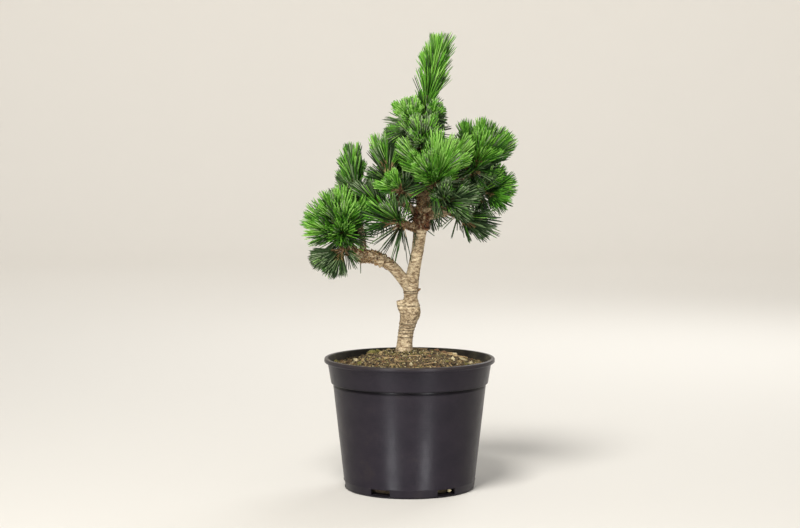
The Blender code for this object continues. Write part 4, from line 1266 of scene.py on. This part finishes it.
def grains(heap, centres, radii, shades, rng):
    """Irregular grains: squashed and dented icosahedra, each turned its own way."""
    corners, faces = icosahedron()
    count = len(centres)
    turned = np.linalg.qr(rng.normal(0, 1, (count, 3, 3)))[0]
    dents = rng.uniform(*GRAIN_DENTS, (count, len(corners), 1))
    squash = rng.uniform(*GRAIN_SQUASH, (count, 1, 3))
    points = np.einsum("nij,nkj->nki", turned, corners[None] * dents * squash)
    heap.add(centres[:, None, :] + points * radii[:, None, None], faces, shades[:, None])


def on_soil(count, rng, inner=0.0, outer=None):
    """Random places on the soil, evenly spread."""
    outer = outer or POT_COLLAR_FOOT_RADIUS - POT_WALL - GRAIN_MARGIN
    radius = np.sqrt(rng.uniform(inner**2, outer**2, count))
    turn = rng.random(count) * 2 * math.pi
    x, y = radius * np.cos(turn), radius * np.sin(turn)
    z = mound_height(radius) + np.array([soil_lumps(*place) for place in zip(x, y)])
    return np.stack([x, y, z], axis=1)


def build_grains(materials, rng):
    """Grit on the soil, finer grains heaped round the trunk, and one clod in the front right slot."""
    heap = Heap()
    names = list(GRAINS)
    centres = on_soil(GRAIN_COUNT, rng)
    radii = rng.uniform(*GRAIN_RADII, GRAIN_COUNT)
    near = np.linalg.norm(centres[:, :2], axis=1) < MOSS_RADIUS
    loose = rng.choice(len(names), GRAIN_COUNT, p=LOOSE_SHARES)
    mossy = rng.choice(len(names), GRAIN_COUNT, p=MOSSY_SHARES)
    grains(heap, centres, radii, np.where(near, mossy, loose), rng)
    clods = on_soil(CLOD_COUNT, rng, inner=CLODS_FROM_RADIUS)
    clod_shades = rng.choice(len(names), CLOD_COUNT, p=CLOD_SHARES)
    grains(heap, clods, rng.uniform(*CLOD_RADII, CLOD_COUNT), clod_shades, rng)
    big = np.array([(x, y, mound_height(math.hypot(x, y))) for x, y, _, _ in BIG_CLODS])
    big_shades = np.array([names.index(shade) for *_, shade in BIG_CLODS])
    grains(heap, big, np.array([radius for _, _, radius, _ in BIG_CLODS]), big_shades, rng)
    tuft = on_soil(TUFT_GRAINS, rng, outer=TUFT_RADIUS)
    rise = TUFT_HEIGHT * (1 - np.linalg.norm(tuft[:, :2], axis=1) / TUFT_RADIUS)
    tuft[:, 0] += TRUNK[0][0]
    tuft[:, 2] += rise * rng.random(TUFT_GRAINS)
    tuft_shades = rng.choice(len(names), TUFT_GRAINS, p=TUFT_SHARES)
    grains(heap, tuft, rng.uniform(*TUFT_RADII, TUFT_GRAINS), tuft_shades, rng)
    turn = math.radians(SLOT_CLOD_TURN_DEG)
    middle = POT_BASE_RADIUS - SLOT_CLOD_SETBACK
    slot_clod = np.array([(middle * math.cos(turn), middle * math.sin(turn), SLOT_CLOD_Z)])
    grains(heap, slot_clod, np.array([SLOT_CLOD_RADIUS]), np.array([names.index("grain_pale")]), rng)
    heap.piece("soil_grains", materials, "soil", smooth=False)


def build_fallen_needles(material, rng):
    """A few dry needles that lie on the soil."""
    centres = on_soil(FALLEN_COUNT, rng, inner=FALLEN_FROM_RADIUS, outer=FALLEN_TO_RADIUS)
    turn = rng.random(FALLEN_COUNT) * 2 * math.pi
    tilt = rng.uniform(-FALLEN_TILT, FALLEN_TILT, FALLEN_COUNT)
    heading = units(np.stack([np.cos(turn), np.sin(turn), tilt], axis=1))
    length = rng.uniform(*FALLEN_LENGTHS, FALLEN_COUNT)
    bend = np.stack([-np.sin(turn), np.cos(turn), np.zeros(FALLEN_COUNT)], axis=1) * FALLEN_BEND
    root = centres - heading * length[:, None] / 2 + (0.0, 0.0, FALLEN_ROOT_LIFT)
    end = root + (heading + bend) * length[:, None]
    rest = mound_height(np.linalg.norm(end[:, :2], axis=1)) + FALLEN_TIP_LIFT
    heading[:, 2] += (rest - end[:, 2]) / length
    needles = Needles(root, heading, length, bend, np.zeros(FALLEN_COUNT), np.ones(FALLEN_COUNT, bool))
    points = needle_points(needles, NEEDLE_RINGS, NEEDLE_RING_SIZES, FALLEN_NEEDLE_RADIUS, turn)
    heap = Heap()
    heap.add(points, ring_faces(len(NEEDLE_RINGS), NEEDLE_SIDES, True), 0)
    heap.piece("fallen_needles", [material], "soil")


def stray_needles():
    """The lone needles as arrays."""
    roots, tips, levels = (np.array(column) for column in zip(*STRAYS))
    spans = tips - roots
    lengths = np.linalg.norm(spans, axis=1)
    return Needles(roots, units(spans), lengths, np.zeros_like(roots), levels, np.ones(len(STRAYS), bool))


def mass_sprays(name, number, path, stem, shoots, limbs, bones, rng):
    """All sprays of one mass that have room, and its twigs."""
    mass, look = MASSES[name], LOOKS.get(name, Look())
    centre = stem.tip
    level, dull_share = TONE_LEVELS[mass.tone] + look.level, DULL_SHARES[mass.tone]
    reach = max(np.linalg.norm(shoot.tip - centre) for shoot in shoots) + mass.needle_length * REACH_SHARE
    leans = np.array((look.root_lean_deg, look.tip_lean_deg))
    length = mass.needle_length * look.longer
    groups, twigs = [], list(shoots)
    for shoot in shoots:
        shade = level + rng.normal(0, SHOOT_LEVEL_SPREAD)
        groups.append(sprays_on_twig(
            shoot, SHOOT_BARE, length, leans, TIP_SPRAYS, shade, dull_share, look, rng))
        if look.foot:
            foot = shoot._replace(tip=shoot.root + unit(shoot.tip - shoot.root) * SHOOT_BARE)
            thick = look._replace(thickness=look.foot)
            groups.append(sprays_on_twig(
                foot, 0.0, length * FOOT_NEEDLES, FOOT_SPRAY_LEAN_DEG, 0,
                shade - LIMB_SPRAY_LEVEL_DROP / 2, dull_share, thick, rng))
        for twig in side_twigs(shoot, rng):
            twigs.append(twig)
            groups.append(sprays_on_twig(
                twig, SIDE_TWIG_BARE, length * SIDE_TWIG_NEEDLES, leans * SIDE_TWIG_LEAN,
                SIDE_TIP_SPRAYS, shade, dull_share, look, rng))
    groups = [within_reach(gathered(groups), centre, reach)]
    older = [sprays_of_skirt(mass, stem, look, rng)]
    if look.limb_from < 1:
        start = path[round(look.limb_from * (len(path) - 1))]
        limb = Rod(start[:3], stem.tip, start[3], stem.tip_radius)
        older.append(sprays_on_twig(limb, 0.0, mass.skirt_length, LIMB_SPRAY_LEAN_DEG, 0,
                                    level - LIMB_SPRAY_LEVEL_DROP, SKIRT_DULL_SHARE, look, rng))
    groups.append(within_reach(gathered(older), centre, mass.skirt_length + KNUCKLE_RADIUS))
    sprays = gathered(groups)
    roomy = clear_of_limbs(sprays.root, sprays.tips(), limbs) & in_own_space(sprays.tips(), number, bones)
    return sprays.only(roomy & clear_of_bare_front(sprays)), twigs


def batches(groups):
    """Masses in their order, in batches that stay under the most triangles a piece may have."""
    per_needle = 2 * NEEDLE_SIDES * (len(NEEDLE_RINGS) - 1) + NEEDLE_SIDES
    batch, count = [], 0
    for name, needles in groups:
        triangles = len(needles.root) * per_needle
        if batch and count + triangles > PIECE_TRIANGLES:
            yield batch
            batch, count = [], 0
        batch.append((name, needles))
        count += triangles
    yield batch


def build_needles(groups, materials, rng):
    """One piece or more of needles for each tone, each in place of its masses."""
    for tone in TONE_LEVELS:
        members = [(name, needles) for name, needles in groups if MASSES[name].tone == tone]
        for index, batch in enumerate(batches(members), 1):
            heap = Heap()
            for name, needles in batch:
                add_needles(heap, needles, rng)
            obj = heap.piece(f"needles_{tone}_{index}", materials, f"needles_{tone}")
            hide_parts(*(f"foliage_{name}" for name, needles in batch))


def build_foliage(paths, finishes):
    """Needles by tone, their sheaths, the twigs, and the scales on knuckles and limbs."""
    dice = random.Random(SEED)
    rng = np.random.default_rng(SEED)
    bearers = [paths[OTHER_LIMBS.get(name, f"bough_{name}")] for name in MASSES]
    skeletons = [mass_skeleton(mass, path, dice) for mass, path in zip(MASSES.values(), bearers)]
    limb_rods = [Rod(a[:3], b[:3], a[3], b[3]) for path in paths.values() for a, b in zip(path, path[1:])]
    limbs = Bars(limb_rods)
    bone_rods, owners = [], []
    for number, (stem, shoots) in enumerate(skeletons):
        bone_rods += [stem, *shoots]
        owners += [number] * (1 + len(shoots))
    bones = Bars(bone_rods, owners)
    groups, sheaths, twigs, scales = [], Heap(), Heap(), Heap()
    for number, name in enumerate(MASSES):
        stem, shoots = skeletons[number]
        sprays, mass_twigs = mass_sprays(name, number, bearers[number], stem, shoots, limbs, bones, rng)
        add_sheaths(sheaths, sprays, rng)
        groups.append((name, parted(sprays, rng)))
        foot = stem.root - (stem.tip - stem.root) * KNOT_SINK
        knot = Rod(foot, stem.tip, stem.root_radius, KNUCKLE_RADIUS * KNOT_TIP_SIZE)
        for twig in (knot, *mass_twigs):
            add_twig(twigs, twig, 0)
        scales_round_knuckle(scales, stem, rng)
    add_twig(twigs, DEAD_SPUR, 0)
    groups[-1] = (groups[-1][0], gathered([groups[-1][1], stray_needles()]))
    build_needles(groups, finishes["needles"], rng)
    for limb, *cover in SCALY_LIMBS:
        scales_on_limb(scales, paths[limb], rng, *cover)
    for name in BOUGHS:
        if name not in SMOOTH_LIMBS:
            scales_on_limb(scales, paths[name], rng, *THIN_SCALES)
    sheaths.piece("sheaths", finishes["browns"], "bark")
    twigs.piece("twigs", finishes["twig"], "bark")
    scales.piece("scales", finishes["browns"], "bark", smooth=False)


def new_material(name, roughness, gloss=0.5, colour=None):
    """A plain material, its node tree and its shader."""
    material = bpy.data.materials.new(name)
    material.use_nodes = True
    shader = material.node_tree.nodes["Principled BSDF"]
    shader.inputs["Roughness"].default_value = roughness
    shader.inputs["Specular IOR Level"].default_value = gloss
    if colour is not None:
        shader.inputs["Base Color"].default_value = (*colour, 1.0)
        material.diffuse_color = (*colour, 1.0)
    return material, material.node_tree, shader


def plain_materials(colours, roughness, gloss):
    """One plain material for each named colour."""
    return [new_material(name, roughness, gloss, colour)[0] for name, colour in colours.items()]


def node(tree, kind, values, **settings):
    """The outputs of a new shader node, whose inputs get plain values or links."""
    made = tree.nodes.new(f"ShaderNode{kind}")
    for name, setting in settings.items():
        setattr(made, name, setting)
    for key, value in values.items():
        if isinstance(value, bpy.types.NodeSocket):
            tree.links.new(value, made.inputs[key])
        else:
            made.inputs[key].default_value = value
    return made.outputs


def place_vector(tree, scale, shift=(0.0, 0.0, 0.0)):
    """The place on the object in metres, scaled by x, y and z."""
    place = node(tree, "TexCoord", {})["Object"]
    return node(tree, "Mapping", {"Vector": place, "Location": shift, "Scale": scale})["Vector"]


def noise_value(tree, scale, detail, roughness, shift=(0.0, 0.0, 0.0)):
    """Noise from 0 to 1 over the object, scaled by x, y and z."""
    place = place_vector(tree, scale, shift)
    values = {"Vector": place, "Scale": 1.0, "Detail": detail, "Roughness": roughness}
    return node(tree, "TexNoise", values)[0]


def ramp(tree, value, *stops):
    """A colour for each value, from stops of a place and a colour, or a number for a grey."""
    colour = node(tree, "ValToRGB", {"Fac": value})["Color"]
    elements = colour.node.color_ramp.elements
    while len(elements) < len(stops):
        elements.new(0.5)
    for element, (place, shade) in zip(elements, stops):
        element.position = place
        element.color = (*np.broadcast_to(shade, 3), 1.0)
    return colour


def mixed(tree, share, first, second, blend="MIX"):
    """Two colours blended by a share, which is a number or a socket."""
    first, second = ((*part, 1.0) if isinstance(part, tuple) else part for part in (first, second))
    return node(tree, "Mix", {0: share, 6: first, 7: second}, data_type="RGBA", blend_type=blend)[2]


def bump(tree, shader, height, distance, strength):
    """Relief from a height, laid over any that the shader already has."""
    values = {"Strength": strength, "Distance": distance, "Height": height}
    normal = shader.inputs["Normal"]
    if normal.is_linked:
        values["Normal"] = normal.links[0].from_socket
    tree.links.new(node(tree, "Bump", values)["Normal"], normal)


def speckled(name, finish, colour=None):
    """A material with one of the finishes, its node tree, its shader and its colour's socket."""
    material, tree, shader = new_material(name, finish.roughness, finish.gloss, colour)
    value = noise_value(tree, finish.scale, finish.detail, finish.wear)
    shade = ramp(tree, value, *finish.stops)
    tree.links.new(shade, shader.inputs["Base Color"])
    bump(tree, shader, value, finish.relief, finish.strength)
    return material, tree, shader, shade


def height_value(tree, low, high, wander, scale):
    """The height between two levels, from 0 to 1, made to wander a little by a noise."""
    height = node(tree, "SeparateXYZ", {"Vector": place_vector(tree, (1.0, 1.0, 1.0))})["Z"]
    waves = noise_value(tree, scale, 2.0, 0.5)
    shifted = node(tree, "Math", {0: waves, 1: wander, 2: height}, operation="MULTIPLY_ADD")[0]
    levels = {"Value": shifted, "From Min": low + wander / 2, "From Max": high + wander / 2}
    return node(tree, "MapRange", levels)["Result"]


def wrinkle_shade(tree):
    """Dark level lines at the trunk's wrinkles."""
    low, high = min(WRINKLES_Z) - WRINKLE_MARGIN, max(WRINKLES_Z) + WRINKLE_MARGIN
    height = height_value(tree, low, high, 0.0016, (70, 70, 30))
    stops = []
    for ring in WRINKLES_Z:
        for side, shade in ((-1, 1.0), (0, WRINKLE_SHADE), (1, 1.0)):
            stops.append(((ring + side * WRINKLE_SHADE_REACH - low) / (high - low), shade))
    return ramp(tree, height, *stops)


def crack_share(tree):
    """Where the swelling above the foot of the trunk is cracked and dark."""
    low, high = CRACKED_Z[0], CRACKED_Z[-1]
    height = height_value(tree, low, high, 0.004, (120, 120, 60))
    stops = [((z - low) / (high - low), share) for z, share in zip(CRACKED_Z, CRACKED_SHARES)]
    pits = ramp(tree, noise_value(tree, (420, 420, 420), 2.0, 0.5), (0.56, 0.0), (0.62, 1.0))
    return mixed(tree, 1.0, ramp(tree, height, *stops), pits, "MULTIPLY")


def bark_material():
    """Tan bark with short level flecks, fine rings and darker cracks, browner in the crown."""
    material, tree, shader = new_material("bark", 0.86)
    flecks = noise_value(tree, (210, 210, 520), 5.0, 0.65)
    colour = ramp(tree, flecks, *BARK_STOPS)
    patches = noise_value(tree, (48, 48, 80), 3.0, 0.6, (3.0, 1.0, 0.0))
    warm = ramp(tree, patches, *PATCH_STOPS)
    colour = mixed(tree, 0.5, colour, warm)
    values = {"Vector": place_vector(tree, (300, 300, 700)), "Scale": 1.0}
    cells = node(tree, "TexVoronoi", values, feature="DISTANCE_TO_EDGE")["Distance"]
    cracks = ramp(tree, cells, (0.02, 0.35), (0.12, 1.0))
    colour = mixed(tree, 0.7, colour, cracks, "MULTIPLY")
    streaks = noise_value(tree, (190, 190, 470), 3.0, 0.6, (1.0, 4.0, 2.0))
    colour = mixed(tree, 0.85, colour, ramp(tree, streaks, *STREAK_STOPS), "MULTIPLY")
    colour = mixed(tree, 1.0, colour, wrinkle_shade(tree), "MULTIPLY")
    colour = mixed(tree, crack_share(tree), colour, CRACK_COLOUR)
    height = height_value(tree, BROWN_FROM_Z, BROWN_TO_Z, 0.008, (150, 150, 150))
    crown_share = ramp(tree, height, (0.0, 0.0), (1.0, CROWN_BROWN_SHARE))
    colour = mixed(tree, crown_share, colour, CROWN_BROWN)
    tree.links.new(colour, shader.inputs["Base Color"])
    bump(tree, shader, flecks, 0.0004, 0.8)
    bump(tree, shader, cells, 0.0003, 0.6)
    return material


def pot_material():
    """Black satin plastic, with painted shade and grime under the collar, a darker foot, a dusty lip and
    level moulding lines.
    """
    material, tree, shader = new_material("pot", 0.4, POT_GLOSS)
    shader.inputs["Anisotropic"].default_value = POT_ANISOTROPY
    shader.inputs["Anisotropic Rotation"].default_value = POT_ANISOTROPY_TURN
    tangent = node(tree, "Tangent", {}, direction_type="RADIAL", axis="Z")["Tangent"]
    tree.links.new(tangent, shader.inputs["Tangent"])
    colour = ramp(tree, noise_value(tree, (28, 28, 40), 5.0, 0.65), *POT_STOPS)
    upwards = place_vector(tree, (0.0, 0.0, 1 / POT_HEIGHT))
    height = node(tree, "SeparateXYZ", {"Vector": upwards})["Z"]
    # Painted shade with grime in the groove under the collar, and a darker foot
    colour = mixed(tree, 1.0, colour, ramp(tree, height, *POT_GRIME_AND_PAINTED_SHADE), "MULTIPLY")
    dusty = ramp(tree, height, (POT_DUSTY_FROM, 0.0), (1.0, 0.22))
    colour = mixed(tree, dusty, colour, POT_DUST)
    tree.links.new(colour, shader.inputs["Base Color"])
    gloss = noise_value(tree, (90, 90, 60), 4.0, 0.6, (5.0, 0.0, 2.0))
    tree.links.new(ramp(tree, gloss, (0.3, 0.32), (0.7, 0.44)), shader.inputs["Roughness"])
    bump(tree, shader, noise_value(tree, (4, 4, 1100), 3.0, 0.6), 0.00012, 0.7)
    bump(tree, shader, noise_value(tree, (1100, 1100, 1100), 2.0, 0.5), 0.00006, 0.5)
    return material


def soil_material():
    """Dark crumbly compost between the grains, with green patches."""
    material, tree, shader, colour = speckled("soil", SOIL_FINISH)
    moss = noise_value(tree, (45, 45, 45), 3.0, 0.6, (2.0, 7.0, 0.0))
    colour = mixed(tree, ramp(tree, moss, (0.5, 0.0), (0.68, 0.65)), colour, MOSS_COLOUR)
    tree.links.new(colour, shader.inputs["Base Color"])
    return material


def grain_materials():
    """Each kind of grit has its own plain colour with a speckle."""
    made = []
    for name, colour in GRAINS.items():
        dark = tuple(GRAIN_DARKER * part for part in colour)
        light = tuple(min(GRAIN_LIGHTER * part, 1.0) for part in colour)
        stops = ((0.35, dark), (0.65, light))
        made.append(speckled(name, GRAIN_FINISH._replace(stops=stops), colour)[0])
    return made


def build_stage():
    """A plain pale floor that sweeps up far away on all sides of the plant."""
    profile = [(0.0, 0.0)]
    for turn in np.radians(np.linspace(-90, 0, BOWL_BEND_STEPS)):
        radius = BOWL_RADIUS + BOWL_BEND * (math.cos(turn) - 1)
        profile.append((radius, BOWL_BEND * (1 + math.sin(turn))))
    profile.append((BOWL_RADIUS, BOWL_HEIGHT))
    mesh = turned_mesh("floor", profile, BOWL_STEPS)
    floor = in_scene("floor", mesh)
    mesh.materials.append(new_material("floor", FLOOR_ROUGHNESS, 0.0, FLOOR_COLOUR)[0])
    mesh.shade_smooth()
    floor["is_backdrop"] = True
    return floor


def build_lights(floor):
    """A pale sky, lamps round the plant, and one lamp for each side of the floor's far rise."""
    world = bpy.data.worlds.new("studio")
    world.use_nodes = True
    background = world.node_tree.nodes["Background"]
    background.inputs["Color"].default_value = (*SKY_COLOUR, 1.0)
    background.inputs["Strength"].default_value = SKY_STRENGTH
    bpy.context.scene.world = world
    for name, lamp in LAMPS.items():
        light = hang_lamp(name, lamp, LAMP_AIM)
        if lamp.place[2] < LOW_LAMP_Z:
            keep_off(light, floor)
    for index, (side, watts) in enumerate(BOWL_WATTS.items()):
        turn = math.pi / 2 - index * math.pi / 2
        x, y = math.cos(turn), math.sin(turn)
        place = (BOWL_LAMP_RADIUS * x, BOWL_LAMP_RADIUS * y, BOWL_LAMP_HEIGHT)
        aim = Vector((BOWL_RADIUS * x, BOWL_RADIUS * y, BOWL_AIM_HEIGHT))
        hang_lamp(f"backdrop_{side}", Lamp(place, *BOWL_LAMP_SIZE, watts, BOWL_LAMP_COLOUR), aim)


def hang_lamp(name, lamp, aim):
    """A lamp that faces its aim and does not show itself."""
    light = bpy.data.lights.new(name, "AREA")
    light.shape = "RECTANGLE"
    light.size, light.size_y = lamp.width, lamp.height
    light.energy = lamp.watts
    light.color = lamp.colour
    obj = in_scene(name, light)
    obj.location = lamp.place
    obj.rotation_euler = (aim - Vector(lamp.place)).to_track_quat("-Z", "Y").to_euler()
    obj.visible_camera = False
    return obj


def keep_off(light, floor):
    """Keeps a low lamp's light off the floor, which it would bleach."""
    spared = bpy.data.collections.new(f"{light.name}_spared")
    spared.objects.link(floor)
    spared.collection_objects[0].light_linking.link_state = "EXCLUDE"
    light.light_linking.receiver_collection = spared


def build_camera():
    """The camera at the photograph's place."""
    data = bpy.data.cameras.new("camera")
    data.sensor_width = CAMERA_SENSOR
    data.lens = CAMERA_LENS
    camera = in_scene("camera", data)
    camera.location = CAMERA_PLACE
    camera.rotation_euler = CAMERA_TURN
    bpy.context.scene.camera = camera


def write_sizes():
    """The CAD box and the finished model's box, in metres, gathered into plain lists that are not written
    anywhere.
    """
    boxes = {"cad": CAD_BOX, "visual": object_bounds()}
    plain = {name: [[float(x) for x in corner] for corner in box] for name, box in boxes.items()}


def main():
    """Builds everything round the frame."""
    paths = limb_paths(SPAN_STEPS)
    finishes = {
        "needles": plain_materials(SHADES, NEEDLE_ROUGHNESS, NEEDLE_GLOSS),
        "browns": plain_materials(BROWNS, BROWN_ROUGHNESS, BROWN_GLOSS),
        "twig": [speckled("twig", TWIG_FINISH)[0]],
    }
    build_camera()
    build_lights(build_stage())
    cut_wood = speckled("cut_wood", CUT_WOOD_FINISH)[0]
    build_bark(limb_paths(SPAN_STEPS * BARK_FINER), [bark_material(), cut_wood])
    build_foliage(paths, finishes)
    build_pot(pot_material(), speckled("pot_inside", POT_INSIDE_FINISH)[0])
    build_soil(soil_material())
    rng = np.random.default_rng(SEED + 1)
    build_grains(grain_materials(), rng)
    build_fallen_needles(finishes["browns"][list(BROWNS).index("scale_tan")], rng)
    bpy.context.scene.view_settings.view_transform = "Standard"
    write_sizes()


main()
